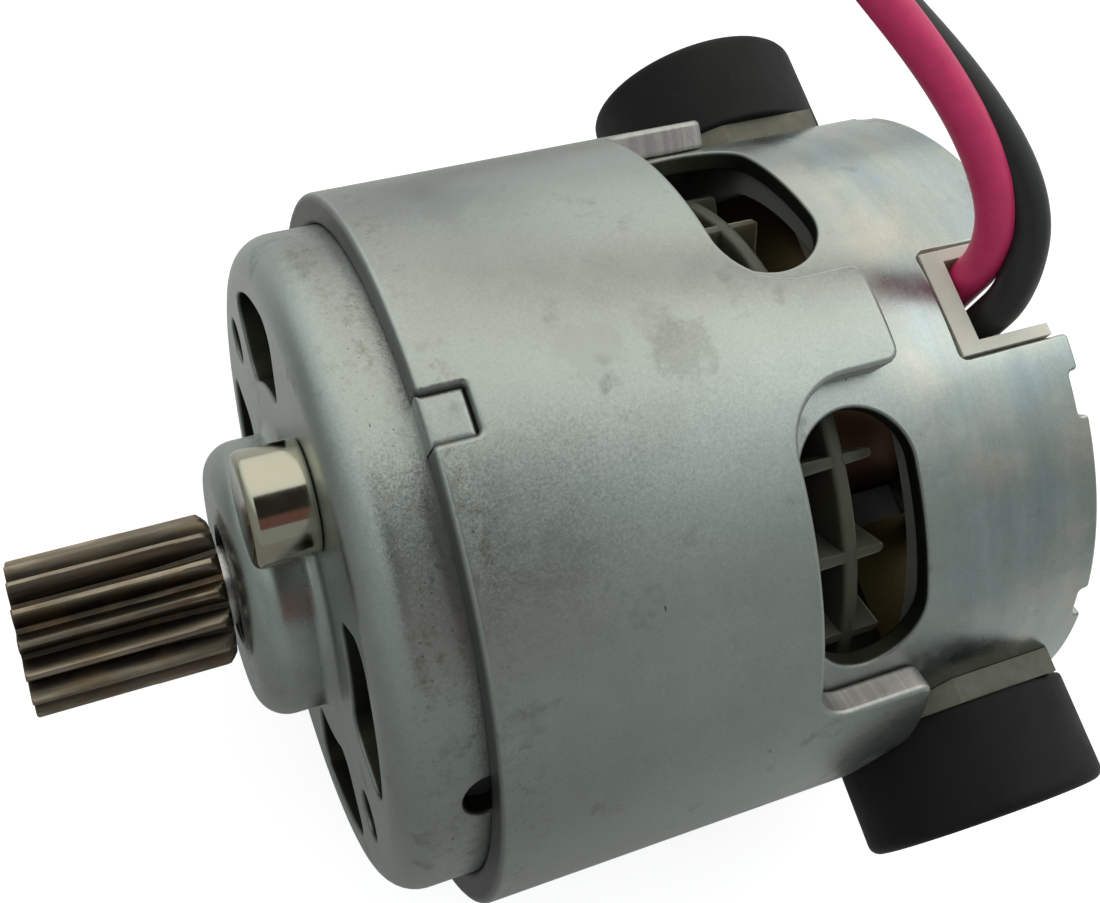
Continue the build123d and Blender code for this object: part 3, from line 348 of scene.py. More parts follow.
def rounded(corners, radii, spacing, closed=False):
    """Line through corners, each turned by an arc. The arc of radius r starts r times the tangent of
    half the turn before the corner, and its points are a circular mix of its two end radii."""
    corners = np.asarray(corners, float)
    count = len(corners)
    pieces = []
    for i, radius in enumerate(radii):
        here = corners[i]
        if radius == 0 or (not closed and i in (0, count - 1)):
            pieces.append(here[None])
            continue
        back = unit_rows(corners[i - 1] - here)
        ahead = unit_rows(corners[(i + 1) % count] - here)
        turn = math.acos(np.clip(-back @ ahead, -1, 1))
        reach = radius * math.tan(turn / 2)
        centre = here + unit_rows(back + ahead) * radius / math.cos(turn / 2)
        share = np.linspace(0, 1, max(5, math.ceil(radius * turn / spacing) + 1))[:, None]
        first, last = here + back * reach - centre, here + ahead * reach - centre
        arc = (np.sin((1 - share) * turn) * first + np.sin(share * turn) * last) / math.sin(turn)
        pieces.append(centre + arc)
    line = np.vstack(pieces + ([pieces[0][:1]] if closed else []))
    parts = np.maximum(1, np.ceil(np.linalg.norm(np.diff(line, axis=0), axis=1) / spacing)).astype(int)
    run = np.repeat(np.arange(len(parts)), parts)
    share = (np.arange(parts.sum()) - np.repeat(np.cumsum(parts) - parts, parts)) / parts[run]
    dense = line[run] + share[:, None] * (line[run + 1] - line[run])
    return dense if closed else np.vstack((dense, line[-1:]))


def soft_least(first, second, softness):
    """The lesser of two lengths, with the change from one to the other softened: less the softness
    times the logarithm of the sum of both exponentials."""
    return -softness * np.logaddexp(-first / softness, -second / softness)


def inside(points, outline):
    """Which points lie in a closed outline: a ray to the right crosses it an odd number of times."""
    ahead = np.roll(outline, -1, axis=0)
    found = np.zeros(len(points), bool)
    for block in np.array_split(np.arange(len(points)), 1 + len(points) * len(outline) // 4000000):
        x, y = points[block, 0, None], points[block, 1, None]
        spans = (outline[:, 1] > y) != (ahead[:, 1] > y)
        rise = np.where(ahead[:, 1] == outline[:, 1], 1.0, ahead[:, 1] - outline[:, 1])
        cross = outline[:, 0] + (y - outline[:, 1]) * (ahead[:, 0] - outline[:, 0]) / rise
        found[block] = (spans & (x < cross)).sum(axis=1) % 2 == 1
    return found


def clear_of(points, others, gap):
    """Which points are further than a gap from all the others."""
    found = np.zeros(len(points), bool)
    for block in np.array_split(np.arange(len(points)), 1 + len(points) * len(others) // 4000000):
        offsets = points[block, None, :] - others[None]
        found[block] = (offsets ** 2).sum(axis=2).min(axis=1) > gap ** 2
    return found


def mesh_object(name, points, faces, normals=None, fields=None):
    """Mesh from whole arrays. Faces that clearly look away from their points' normals are turned
    round."""
    faces = [np.asarray(group, int).reshape(-1, size) for size, group in faces.items() if len(group)]
    used, order = np.unique(np.concatenate([group.ravel() for group in faces]), return_inverse=True)
    split = np.cumsum([group.size for group in faces])[:-1]
    faces = [part.reshape(group.shape) for part, group in zip(np.split(order, split), faces)]
    points = points[used]
    lists = []
    for group in faces:
        if normals is not None:
            across = np.cross(points[group[:, 1]] - points[group[:, 0]],
                              points[group[:, 2]] - points[group[:, 0]])
            clear = 0.01 * np.linalg.norm(across, axis=1)
            wrong = (across * normals[used][group].mean(axis=1)).sum(axis=1) < -clear
            group[wrong] = group[wrong][:, ::-1]
        lists += group.tolist()
    mesh = bpy.data.meshes.new(name)
    mesh.from_pydata(points.tolist(), [], lists)
    mesh.polygons.foreach_set("use_smooth", np.ones(len(mesh.polygons), bool))
    for field, values in (fields or {}).items():
        layer = mesh.attributes.new(field, "FLOAT", "POINT")
        layer.data.foreach_set("value", values[used].astype(np.float32))
    mesh.update()
    if normals is not None:
        mesh.normals_split_custom_set_from_vertices(unit_rows(normals[used]).tolist())
    piece = bpy.data.objects.new(name, mesh)
    bpy.context.scene.collection.objects.link(piece)
    return piece


def turn_outwards(piece):
    """Turns all faces round if the closed mesh encloses a negative volume."""
    mesh = piece.data
    mesh.calc_loop_triangles()
    corners = np.zeros(len(mesh.loop_triangles) * 3, np.int32)
    mesh.loop_triangles.foreach_get("vertices", corners)
    points = np.zeros(len(mesh.vertices) * 3)
    mesh.vertices.foreach_get("co", points)
    a, b, c = np.moveaxis(points.reshape(-1, 3)[corners.reshape(-1, 3)], 1, 0)
    if (a * np.cross(b, c)).sum() < 0:
        mesh.flip_normals()


def grid_faces(index):
    """Quads over a grid of point numbers; where two corners are one point, the quad is a triangle."""
    quads = np.stack((index[:-1, :-1], index[:-1, 1:], index[1:, 1:], index[1:, :-1]), axis=-1)
    quads = quads.reshape(-1, 4)
    top = quads[:, 0] == quads[:, 1]
    bottom = quads[:, 2] == quads[:, 3]
    triangles = np.vstack((quads[top & ~bottom][:, 1:], quads[bottom & ~top][:, :3]))
    return {4: quads[~top & ~bottom], 3: triangles}


def surface(name, grid, normals=None, wrap_rows=False, wrap_columns=False, fields=None, poles=()):
    """Mesh of a surface given as a grid of points, (rows, columns, 3). A wrapped side joins its own
    first line, and a row named as a pole is one point."""
    rows, columns = grid.shape[:2]
    index = np.arange(rows * columns).reshape(rows, columns)
    for row in poles:
        index[row] = index[row, 0]
    if wrap_rows:
        index = np.vstack((index, index[:1]))
    if wrap_columns:
        index = np.hstack((index, index[:, :1]))
    flat_normals = None if normals is None else normals.reshape(-1, 3)
    flat_fields = {key: value.reshape(-1) for key, value in (fields or {}).items()}
    return mesh_object(name, grid.reshape(-1, 3), grid_faces(index), flat_normals, flat_fields)


class TurnedForm:
    """Outer skin of a drawn or rolled shape. A place on it is (u, v): v is the length along its turned
    profile, and u the angle from a start times a reference radius. The point is the profile's point at
    v, turned by that angle, and less a depth along the profile's normal."""

    def __init__(self, corners, radii, reference, start, skin):
        line = rounded(corners, radii, PROFILE_STEP)
        steps = np.linalg.norm(np.diff(line, axis=0), axis=1)
        tangent = unit_rows(np.gradient(line, axis=0))
        self.length = np.concatenate(([0], np.cumsum(steps)))
        self.radius, self.station = line.T
        self.normal_out, self.normal_along = tangent[:, 1], -tangent[:, 0]
        self.reference, self.start = reference, math.radians(start)
        self.period = TAU * reference
        self.skin = skin

    def at(self, v, values):
        """A value of the profile's points at the length v."""
        return np.interp(v, self.length, values)

    def place(self, flat, share=0.0, depth=0.0):
        """Points at a share of the skin's thickness, plus a depth."""
        angle = self.start + flat[:, 0] / self.reference
        depth = share * self.thickness(flat[:, 1]) + depth
        radius = self.at(flat[:, 1], self.radius) - depth * self.at(flat[:, 1], self.normal_out)
        along = self.at(flat[:, 1], self.station) - depth * self.at(flat[:, 1], self.normal_along)
        return np.column_stack((radius * np.cos(angle), along, radius * np.sin(angle)))

    def normals(self, flat):
        """The profile's normals, turned with it."""
        angle = self.start + flat[:, 0] / self.reference
        out = self.at(flat[:, 1], self.normal_out)
        return np.column_stack((out * np.cos(angle), self.at(flat[:, 1], self.normal_along),
                                out * np.sin(angle)))

    def thickness(self, v):
        """The skin's thickness at the length v."""
        return np.interp(v, *self.skin)

    def v_at(self, station):
        """Length along the profile where its straight wall has a station."""
        wall = self.radius > self.radius.max() - 1e-6
        return np.interp(station, self.station[wall], self.length[wall])

    def v_at_radius(self, radius):
        """Length along the profile where its flat front has a radius."""
        front = np.abs(self.station) < 1e-7
        return np.interp(radius, self.radius[front], self.length[front])

    def u_at(self, degrees):
        """Way round the shaft from the start to an angle."""
        return ((np.radians(degrees) - self.start) % TAU) * self.reference

    def inset(self, line, distance, side, closed):
        """Line moved across itself by a distance in true lengths: the normal of its tangent, where a
        step in u counts by the skin's radius over the reference radius."""
        stretch = self.at(line[:, 1], self.radius) / self.reference
        before, after = np.roll(line, 1, axis=0), np.roll(line, -1, axis=0)
        if not closed:
            before[0], after[-1] = line[-2] - (self.period, 0), line[1] + (self.period, 0)
        tangent = unit_rows((after - before) * np.column_stack((stretch, np.ones(len(line)))))
        across = side * np.column_stack((-tangent[:, 1], tangent[:, 0]))
        return line + distance * across / np.column_stack((stretch, np.ones(len(line))))


def flat_sheet(form, loops, shoulders, rows):
    """Triangles between the shoulder lines, in (u, v). The points are the lines', then those of the
    seam's left and right sides, then a grid that keeps clear of the lines. Returns the points, the
    numbers of each line's points, and the triangles, in which the seam's two sides are one."""
    v_front, v_rear = shoulders[0][0, 1], shoulders[1][0, 1]
    border = np.vstack((shoulders[0], shoulders[1][::-1]))

    def within(points):
        found = inside(points, border)
        for shoulder in shoulders[2:]:
            found &= ~inside(points, shoulder)
        return found

    column_step = form.period / SHEET_COLUMNS
    gap = SHEET_GAP * column_step
    seam_rows = rows[(rows > v_front + gap) & (rows < v_rear - gap)]
    seam = [np.column_stack((np.full(len(seam_rows), u), seam_rows)) for u in (0.0, form.period)]
    u, v = np.meshgrid(np.arange(1, SHEET_COLUMNS) * column_step, rows)
    grid = np.column_stack((u.ravel(), v.ravel()))
    grid = grid[within(grid)]
    grid = grid[clear_of(grid, np.vstack(shoulders), gap)]

    groups = shoulders + seam + [grid]
    starts = np.concatenate(([0], np.cumsum([len(group) for group in groups])))
    numbers = [np.arange(first, last) for first, last in zip(starts[:-1], starts[1:])]
    front, rear, seam_left, seam_right = *numbers[:2], *numbers[len(loops):len(loops) + 2]
    chains = [np.append(line, line[0]) if closed else line
              for line, (_, _, closed) in zip(numbers, loops)]
    chains += [np.concatenate((front[:1], seam_left, rear[:1])),
               np.concatenate((front[-1:], seam_right, rear[-1:]))]
    edges = np.vstack([np.column_stack((chain[:-1], chain[1:])) for chain in chains])
    flat = np.vstack(groups)
    result = delaunay_2d_cdt((flat / MM).tolist(), edges.tolist(), [], 0, 1e-6, True)
    source = np.array([ids[0] for ids in result[3]])
    triangles = source[np.array(result[2])]
    triangles = triangles[within(flat[triangles].mean(axis=1))]

    twin = np.arange(len(flat))
    twin[front[-1]], twin[rear[-1]] = front[0], rear[0]
    twin[seam_right] = seam_left
    return flat, numbers[:len(loops)], twin[triangles]


def formed_sheet(name, form, front, rear, holes, edge, rows):
    """Sheet metal cut to outlines and wrapped on a turned form. Both faces are a triangulated grid
    between the outlines, one skin apart, and every outline carries a profile: a quarter circle of the
    edge radius, the straight cut, and a quarter circle back."""
    loops = [(front, 1, False), (rear, -1, False)] + [(hole, -1, True) for hole in holes]
    shoulders = [form.inset(line, edge, side, closed) for line, side, closed in loops]
    flat, numbers, triangles = flat_sheet(form, loops, shoulders, rows)
    count = len(flat)
    normals = form.normals(flat)
    points = [form.place(flat), form.place(flat, 1.0)]
    directions = [normals, -normals]
    cut, along = [np.zeros(2 * count)], [np.zeros(2 * count)]
    quads = []
    total = 2 * count
    angles = np.radians(EDGE_ANGLES)
    steps = [(0, angle) for angle in angles] + [(1, angle) for angle in angles[::-1]]
    for (line, _, closed), shoulder, own in zip(loops, shoulders, numbers):
        if not closed:
            line, shoulder, own = line[:-1], shoulder[:-1], own[:-1]
        size = len(line)
        outward = unit_rows(form.place(line) - form.place(shoulder))
        run = np.concatenate(([0], np.cumsum(np.linalg.norm(np.diff(line, axis=0), axis=1))))
        normal = form.normals(shoulder)
        rings = [own]
        for face, angle in steps:
            here = shoulder + (line - shoulder) * math.sin(angle)
            drop = edge * (1 - math.cos(angle))
            points.append(form.place(here, face, drop if face == 0 else -drop))
            directions.append(normal * math.cos(angle) * (1 - 2 * face) + outward * math.sin(angle))
            share = EDGE_SHARE * math.sin(angle)
            cut.append(np.full(size, share if face == 0 else 1 - share))
            along.append(run / MM)
            rings.append(total + np.arange(size))
            total += size
        rings.append(own + count)
        index = np.stack(rings)
        quads.append(grid_faces(np.hstack((index, index[:, :1])))[4])
    faces = {3: np.vstack((triangles, triangles + count)), 4: np.vstack(quads)}
    return mesh_object(name, np.vstack(points), faces, np.vstack(directions),
                       {"cut": np.concatenate(cut), "along": np.concatenate(along)})


def turned(name, outline, segments, axis="Y", centre=(0.0, 0.0, 0.0), closed=True):
    """Surface of revolution: each outline point (radius, station) goes round the axis. The normal is
    the outline's own, turned with it. A point on the axis is a pole."""
    outline = np.asarray(outline, float)
    if closed:
        tangent = np.roll(outline, -1, axis=0) - np.roll(outline, 1, axis=0)
    else:
        tangent = np.gradient(outline, axis=0)
    tangent = unit_rows(tangent)
    angle = np.arange(segments) * TAU / segments
    radius, station = outline[:, 0, None], outline[:, 1, None]
    out, along = tangent[:, 1, None], -tangent[:, 0, None]
    still = np.ones(segments)
    parts = (radius * np.cos(angle), station * still, radius * np.sin(angle))
    normal = (out * np.cos(angle), along * still, out * np.sin(angle))
    if axis == "X":
        parts, normal = (parts[1], parts[0], parts[2]), (normal[1], normal[0], normal[2])
    grid = np.stack(parts, axis=-1) + np.asarray(centre)
    poles = [] if closed else [row for row in (0, len(outline) - 1) if outline[row, 0] < 1e-9]
    return surface(name, grid, np.stack(normal, axis=-1), wrap_rows=closed, wrap_columns=True,
                   poles=poles)


def rods(name, rings, looped=False):
    """Closed skins over rings of points, (rods, steps, sides, 3). A rod that doesn't close on itself
    gets two flat ends."""
    index = np.arange(rings.size // 3).reshape(rings.shape[:3])
    index = np.concatenate((index, index[:, :, :1]), axis=2)
    ends = np.vstack((index[:, 0, :-1][:, ::-1], index[:, -1, :-1]))
    if looped:
        index = np.concatenate((index, index[:, :1]), axis=1)
    faces = {4: np.vstack([grid_faces(rod)[4] for rod in index])}
    if not looped:
        faces[rings.shape[2]] = ends
    piece = mesh_object(name, rings.reshape(-1, 3), faces)
    turn_outwards(piece)
    return piece


def wires(name, paths, radius, sides=8, looped=False):
    """Round wires along paths, (wires, steps, 3): each point carries a circle across the path, set out
    from the direction away from the shaft, or for a looped path from the normal of its plane."""
    if looped:
        tangent = unit_rows(np.roll(paths, -1, axis=1) - np.roll(paths, 1, axis=1))
        arms = paths - paths.mean(axis=1, keepdims=True)
        away = np.cross(arms, np.roll(arms, -1, axis=1)).sum(axis=1, keepdims=True)
    else:
        tangent = unit_rows(np.gradient(paths, axis=1))
        away = paths * (1, 0, 1)
    side = unit_rows(np.cross(tangent, away))
    up = np.cross(side, tangent)
    angle = np.arange(sides) * TAU / sides
    circle = side[:, :, None] * np.cos(angle)[:, None] + up[:, :, None] * np.sin(angle)[:, None]
    return rods(name, paths[:, :, None] + radius * circle, looped)


# ---------------------------------------------------------------- finishes


class Nodes:
    """A node tree with short calls for what the shaders share. An input takes a plain value or the
    output of another node."""

    def __init__(self, tree):
        self.tree = tree

    def feed(self, socket, value):
        if isinstance(value, bpy.types.NodeSocket):
            self.tree.links.new(value, socket)
        else:
            socket.default_value = value

    def node(self, kind, inputs, **options):
        made = self.tree.nodes.new("ShaderNode" + kind)
        for key, option in options.items():
            setattr(made, key, option)
        for key, value in inputs.items():
            self.feed(made.inputs[key], value)
        return made

    def coordinates(self, space="Object"):
        return self.node("TexCoord", {}).outputs[space]

    def lean(self, coordinates, direction):
        """How far coordinates reach in a direction."""
        return self.node("VectorMath", {0: coordinates, 1: direction},
                         operation="DOT_PRODUCT").outputs["Value"]

    def span(self, value, low, high, out_low=0.0, out_high=1.0, **options):
        """A value carried evenly from one span to another, and held at its ends."""
        return self.node("MapRange", {"Value": value, "From Min": low, "From Max": high,
                                      "To Min": out_low, "To Max": out_high}, **options).outputs[0]

    def math(self, operation, first, second=0.0, clamp=False):
        return self.node("Math", {0: first, 1: second}, operation=operation, use_clamp=clamp).outputs[0]

    def times(self, first, second):
        return self.math("MULTIPLY", first, second)

    def mix(self, share, first, second, blend="MIX"):
        made = self.node("Mix", {0: share}, data_type="RGBA", blend_type=blend)
        for socket, value in zip(made.inputs[6:8], (first, second)):
            self.feed(socket, value if isinstance(value, bpy.types.NodeSocket) else (*value, 1.0))
        return made.outputs[2]


class Finish(Nodes):
    """The nodes of one finish. Patterns read Object coordinates in millimetres."""

    def __init__(self, name, colour, roughness, metallic=0.0, **sockets):
        self.material = bpy.data.materials.new(name)
        self.material.use_nodes = True
        super().__init__(self.material.node_tree)
        self.shader = self.tree.nodes["Principled BSDF"]
        self.set(Base_Color=(*colour, 1.0), Roughness=roughness, Metallic=metallic, **sockets)

    def set(self, **sockets):
        for key, value in sockets.items():
            self.feed(self.shader.inputs[key.replace("_", " ")], value)

    def place(self, stretch=(1, 1, 1)):
        """Object coordinates in millimetres, each times its stretch."""
        scale = tuple(1 / MM * share for share in stretch)
        return self.node("Mapping", {"Vector": self.coordinates(), "Scale": scale}).outputs[0]

    def station(self):
        """Place along the shaft in millimetres."""
        return self.node("SeparateXYZ", {0: self.place()}).outputs["Y"]

    def noise(self, size, detail=3.0, roughness=0.55, stretch=(1, 1, 1)):
        """Noise whose features are about a size across, in millimetres."""
        return self.node("TexNoise", {"Vector": self.place(stretch), "Scale": 1 / size, "Detail": detail,
                                      "Roughness": roughness}).outputs["Fac"]

    def specks(self, size, reach, stretch=(1, 1, 1)):
        """Spots in the middles of cells of a size, as wide as the reach."""
        cells = self.node("TexVoronoi", {"Vector": self.place(stretch), "Scale": 1 / size})
        return self.math("LESS_THAN", cells.outputs["Distance"], reach)

    def field(self, name):
        """A value that the mesh's points carry."""
        return self.node("Attribute", {}, attribute_name=name).outputs["Fac"]

    def shades(self, value, *stops):
        """Colour ramp from (position, colour) stops."""
        made = self.node("ValToRGB", {"Fac": value})
        elements = made.color_ramp.elements
        while len(elements) < len(stops):
            elements.new(0.5)
        for element, (position, colour) in zip(elements, stops):
            element.position = position
            element.color = (*colour, 1.0)
        return made.outputs["Color"]

    def grained(self, value, colour, low, high):
        """A colour that goes from a darker to a lighter shade of itself with a noise."""
        return self.shades(value, (0.3, shade(colour, low)), (0.7, shade(colour, high)))

    def glints(self, size, tilt, share):
        """Normal that tilts cell by cell, as the crystals of a plating do."""
        cells = self.node("TexVoronoi", {"Vector": self.place(), "Scale": 1 / size})
        away = self.node("VectorMath", {0: cells.outputs["Color"], 1: (0.5, 0.5, 0.5)},
                         operation="SUBTRACT")
        tilted = self.node("VectorMath", {0: away.outputs[0], "Scale": self.times(tilt, share)},
                           operation="SCALE")
        normal = self.node("NewGeometry", {}).outputs["Normal"]
        mixed = self.node("VectorMath", {0: normal, 1: tilted.outputs[0]}, operation="ADD")
        return self.node("VectorMath", {0: mixed.outputs[0]}, operation="NORMALIZE").outputs[0]

    def bump(self, height, depth, strength=1.0, after=None):
        """Bump of a depth in millimetres for a height from 0 to 1."""
        inputs = {"Height": height, "Distance": depth * MM, "Strength": strength}
        if after is not None:
            inputs["Normal"] = after
        bumped = self.node("Bump", inputs).outputs[0]
        self.set(Normal=bumped)
        return bumped


def shade(colour, factor):
    return tuple(min(1.0, part * factor) for part in colour)


def zinc_plate(name, colour, wear_start, wear_end, lips_from, walls):
    """Satin zinc plating. Slow grey-green clouds, crystal glints, pits and smudges; smoother on the boss
    and behind the vents, where the drawn steel shows as streaks round the can. Wear and oily dirt gather
    between two stations. Cut walls carry painted shade, a dark colour for the shade that falls in them,
    and from one station on they are bare steel."""
    finish = Finish(name, colour, 0.36, metallic=1.0)
    station = finish.station()
    marks = finish.noise(1.7, 6.0, 0.68)
    grain = finish.noise(0.20, 2.0)
    rear = finish.span(station, *PLATE_SMOOTH_REAR)
    smooth = finish.math("MAXIMUM", rear, finish.times(finish.span(station, *PLATE_SMOOTH_BOSS), 0.8))

    tone = finish.shades(finish.noise(15.0, 2.0), (0.32, shade(colour, 0.93)), (0.52, colour),
                         (0.72, shade(colour, 1.07)))
    tint = finish.shades(finish.noise(6.5, 3.0, 0.6), (0.33, (0.315, 0.365, 0.385)), (0.50, colour),
                         (0.62, (0.415, 0.41, 0.375)), (0.72, (0.47, 0.455, 0.40)))
    tone = finish.mix(finish.times(rear, 0.9), tone, tint)
    level = finish.math("ADD", finish.span(marks, 0.35, 0.68, 0.965, 1.03),
                        finish.span(grain, 0.3, 0.7, -0.045, 0.045))
    streaks = finish.noise(1.5, 5.0, 0.62, stretch=(0.13, 1.0, 0.13))
    level = finish.math("ADD", level, finish.times(finish.span(streaks, 0.3, 0.7, -0.10, 0.08), smooth))
    grey = finish.node("CombineColor", {0: level, 1: level, 2: level}).outputs[0]
    tone = finish.mix(1.0, tone, grey, "MULTIPLY")

    worn = finish.times(finish.span(station, wear_start, wear_start + 1.2),
                        finish.span(station, wear_end, wear_end - 1.8))
    patch = finish.noise(3.4, 4.0, 0.7)
    dirt = finish.times(finish.span(finish.noise(0.9, 6.0, 0.75), 0.50, 0.62),
                        finish.times(worn, finish.span(patch, 0.40, 0.60)))
    tone = finish.mix(finish.times(dirt, 0.55), tone, OILY_DIRT)
    reach = finish.math("ADD", finish.span(patch, 0.52, 0.75, 0.0, 0.055), finish.times(worn, 0.075))
    pits = finish.specks(0.55, reach)
    scratch = finish.specks(1.9, finish.span(finish.noise(6.0), 0.50, 0.75, 0.0, 0.055),
                            stretch=(0.35, 1.0, 0.35))
    tone = finish.mix(finish.times(finish.math("MAXIMUM", pits, scratch), 0.72), tone, PIT_FLOOR)
    smudge = finish.times(finish.span(finish.noise(4.2, 3.0, 0.6), 0.60, 0.66),
                          finish.span(marks, 0.42, 0.60))
    tone = finish.mix(finish.times(smudge, 0.30), tone, SMUDGE)
    for x, y, z, size, share in RUBBED_PATCHES:
        gap = finish.node("VectorMath", {0: finish.place(), 1: (x, y, z)}, operation="DISTANCE")
        gap = finish.math("ADD", gap.outputs["Value"],
                          finish.span(marks, 0.3, 0.7, -0.7 * size, 0.7 * size))
        rubbed = finish.times(finish.span(gap, 1.1 * size, 0.7 * size),
                              finish.span(grain, 0.35, 0.6, 0.5, 1.0))
        tone = finish.mix(finish.times(rubbed, share), tone, RUBBED)

    cut = finish.field("cut")
    wall = finish.times(finish.span(cut, 0.10, 0.30), finish.span(cut, 0.99, 0.85))
    lines = finish.node("TexNoise", {"W": finish.times(finish.field("along"), 1.5), "Scale": 1.0,
                                     "Detail": 4.0, "Roughness": 0.6},
                        noise_dimensions="1D").outputs["Fac"]
    bare = finish.span(station, lips_from, lips_from + 1.5)
    steel = finish.shades(lines, (0.32, (0.355, 0.33, 0.325)), (0.50, (0.39, 0.365, 0.355)),
                          (0.68, (0.46, 0.44, 0.42)))
    # walls is painted shade: a dark colour on the cut walls before the bare station, for the shade in
    # them
    finish.set(Base_Color=finish.mix(wall, tone, finish.mix(bare, walls, steel)))

    rough = finish.math("ADD", finish.span(marks, 0.3, 0.7, 0.35, 0.43), finish.times(smudge, 0.10))
    rough = finish.math("ADD", rough, finish.times(smooth, -0.13))
    finish.set(Roughness=finish.math("ADD", rough, finish.times(wall, 0.10)))
    crystal = finish.glints(0.085, finish.span(worn, 0.0, 1.0, 0.07, 0.12),
                            finish.span(smooth, 0.0, 1.0, 1.0, 0.2))
    waves = finish.bump(finish.noise(2.6, 3.0), 0.030, 0.45, after=crystal)
    finish.bump(finish.times(lines, finish.times(wall, bare)), 0.035, 0.4, after=waves)
    return finish.material


def polished_nickel(colour):
    """Bright nickel: near-mirror, warm, with pits and uneven polish."""
    finish = Finish("polished_nickel", colour, 0.10, metallic=1.0)
    pits = finish.specks(0.75, finish.span(finish.noise(1.6), 0.5, 0.8, 0.0, 0.10))
    finish.set(Base_Color=finish.mix(finish.times(pits, 0.7), colour, shade(colour, 0.35)),
               Roughness=finish.span(finish.noise(1.1, 4.0), 0.3, 0.7, 0.07, 0.19))
    finish.bump(finish.noise(0.5, 4.0), 0.004, 0.6)
    return finish.material


def pinion_steel(colour):
    """Hardened gear steel under old oil, with streaks along the teeth. It is nearly black in the roots,
    which is painted shade, and warm and bright on the crests."""
    finish = Finish("oiled_gear_steel", colour, 0.3, metallic=1.0)
    streak = finish.noise(0.5, 4.0, 0.6, stretch=(1, 0.08, 1))
    # worn is the crest field with streaks; its low end gives the painted shade in the roots
    worn = finish.math("ADD", finish.field("crest"), finish.span(streak, 0.3, 0.7, -0.36, 0.30),
                       clamp=True)
    tone = finish.shades(worn, (0.0, shade(colour, 0.16)), (0.45, shade(colour, 0.42)),
                         (0.80, shade(colour, 0.60)), (1.0, shade(colour, 0.90)))
    oil = finish.span(finish.noise(2.4, 3.0), 0.48, 0.66, 0.0, 0.42)
    finish.set(Base_Color=finish.mix(oil, tone, OLD_OIL),
               Roughness=finish.span(worn, 0.0, 1.0, 0.46, 0.33))
    finish.bump(streak, 0.02, 0.5)
    return finish.material


def plain_steel(name, colour, roughness, size=0.3, stretch=(1, 1, 1)):
    """Ground or drawn metal: a fine stretched grain in roughness, colour and bump."""
    finish = Finish(name, colour, roughness, metallic=1.0)
    grain = finish.noise(size, 4.0, 0.6, stretch=stretch)
    finish.set(Base_Color=finish.grained(grain, colour, 0.8, 1.12),
               Roughness=finish.span(grain, 0.3, 0.7, roughness - 0.06, roughness + 0.08))
    finish.bump(grain, 0.005, 0.5)
    return finish.material


def moulded_rubber(colour):
    """Damper rubber: matt black with a faint bloom, scuffs and a fine moulded tooth."""
    finish = Finish("moulded_rubber", colour, 0.62, Specular_IOR_Level=0.22)
    bloom = finish.noise(3.0, 5.0, 0.6)
    scuff = finish.span(finish.noise(0.6, 3.0, stretch=(1, 0.5, 1)), 0.66, 0.76)
    tone = finish.grained(bloom, colour, 0.8, 1.7)
    finish.set(Base_Color=finish.mix(finish.times(scuff, 0.5), tone, shade(colour, 4.5)),
               Roughness=finish.span(bloom, 0.3, 0.7, 0.55, 0.72))
    finish.bump(finish.noise(0.10, 2.0), 0.010, 0.5, after=finish.bump(bloom, 0.03, 0.4))
    return finish.material


def soft_insulation(name, colour):
    """Silicone insulation: smooth, slightly waxy, with dust and a faint waviness over the strands."""
    finish = Finish(name, colour, 0.42, Specular_IOR_Level=0.45, Subsurface_Weight=0.08,
                    Subsurface_Scale=0.4 * MM, Subsurface_Radius=(1.0, 0.4, 0.3))
    dust = finish.noise(1.4, 6.0, 0.7)
    tone = finish.shades(dust, (0.35, shade(colour, 0.86)), (0.6, colour), (0.8, shade(colour, 1.12)))
    spot = finish.specks(1.7, finish.span(finish.noise(4.0), 0.5, 0.8, 0.0, 0.06))
    finish.set(Base_Color=finish.mix(finish.times(spot, 0.6), tone, shade(colour, 0.3)),
               Roughness=finish.span(dust, 0.3, 0.7, 0.36, 0.5))
    finish.bump(finish.noise(1.1, 2.0), 0.03, 0.4)
    return finish.material


def cap_nylon(colour):
    """Natural nylon: milky, a little translucent, with flow clouds and fine tool marks. Painted shade
    greys it in front, deep in the can."""
    finish = Finish("cap_nylon", colour, 0.42, Subsurface_Weight=0.25, Subsurface_Scale=1.0 * MM,
                    Subsurface_Radius=(1.0, 0.8, 0.6))
    flow = finish.noise(5.0, 3.0)
    # painted shade: the cap greys towards the front, where it lies deep in the can
    dust = finish.span(finish.station(), *CAP_SHADE)
    finish.set(Base_Color=finish.mix(dust, finish.grained(flow, colour, 0.86, 1.08), CAP_SHADE_GREY),
               Roughness=finish.span(flow, 0.3, 0.7, 0.37, 0.51))
    finish.bump(finish.noise(0.35, 3.0), 0.006, 0.5)
    return finish.material


def fan_nylon():
    """Thin olive-grey nylon that light soaks through, so its edges and faces differ little. Its colour
    is painted shade, far darker than the nylon, for the shade deep in the can.
    """
    # painted shade: far darker than natural nylon
    colour = (0.072, 0.074, 0.054)
    finish = Finish("fan_nylon", colour, 0.45, Subsurface_Weight=0.8, Subsurface_Scale=2.0 * MM,
                    Subsurface_Radius=(1.0, 0.9, 0.6), Specular_IOR_Level=0.35)
    finish.set(Base_Color=finish.grained(finish.noise(4.0, 3.0), colour, 0.85, 1.1))
    finish.bump(finish.noise(0.5, 3.0), 0.006, 0.4)
    return finish.material


def enamelled_wire(colour):
    """Copper wire under clear enamel and varnish."""
    finish = Finish("enamelled_wire", colour, 0.3, metallic=0.55, Coat_Weight=0.6, Coat_Roughness=0.18)
    finish.set(Base_Color=finish.grained(finish.noise(1.8, 4.0), colour, 0.55, 1.25))
    finish.bump(finish.noise(0.4, 3.0), 0.02, 0.5)
    return finish.material


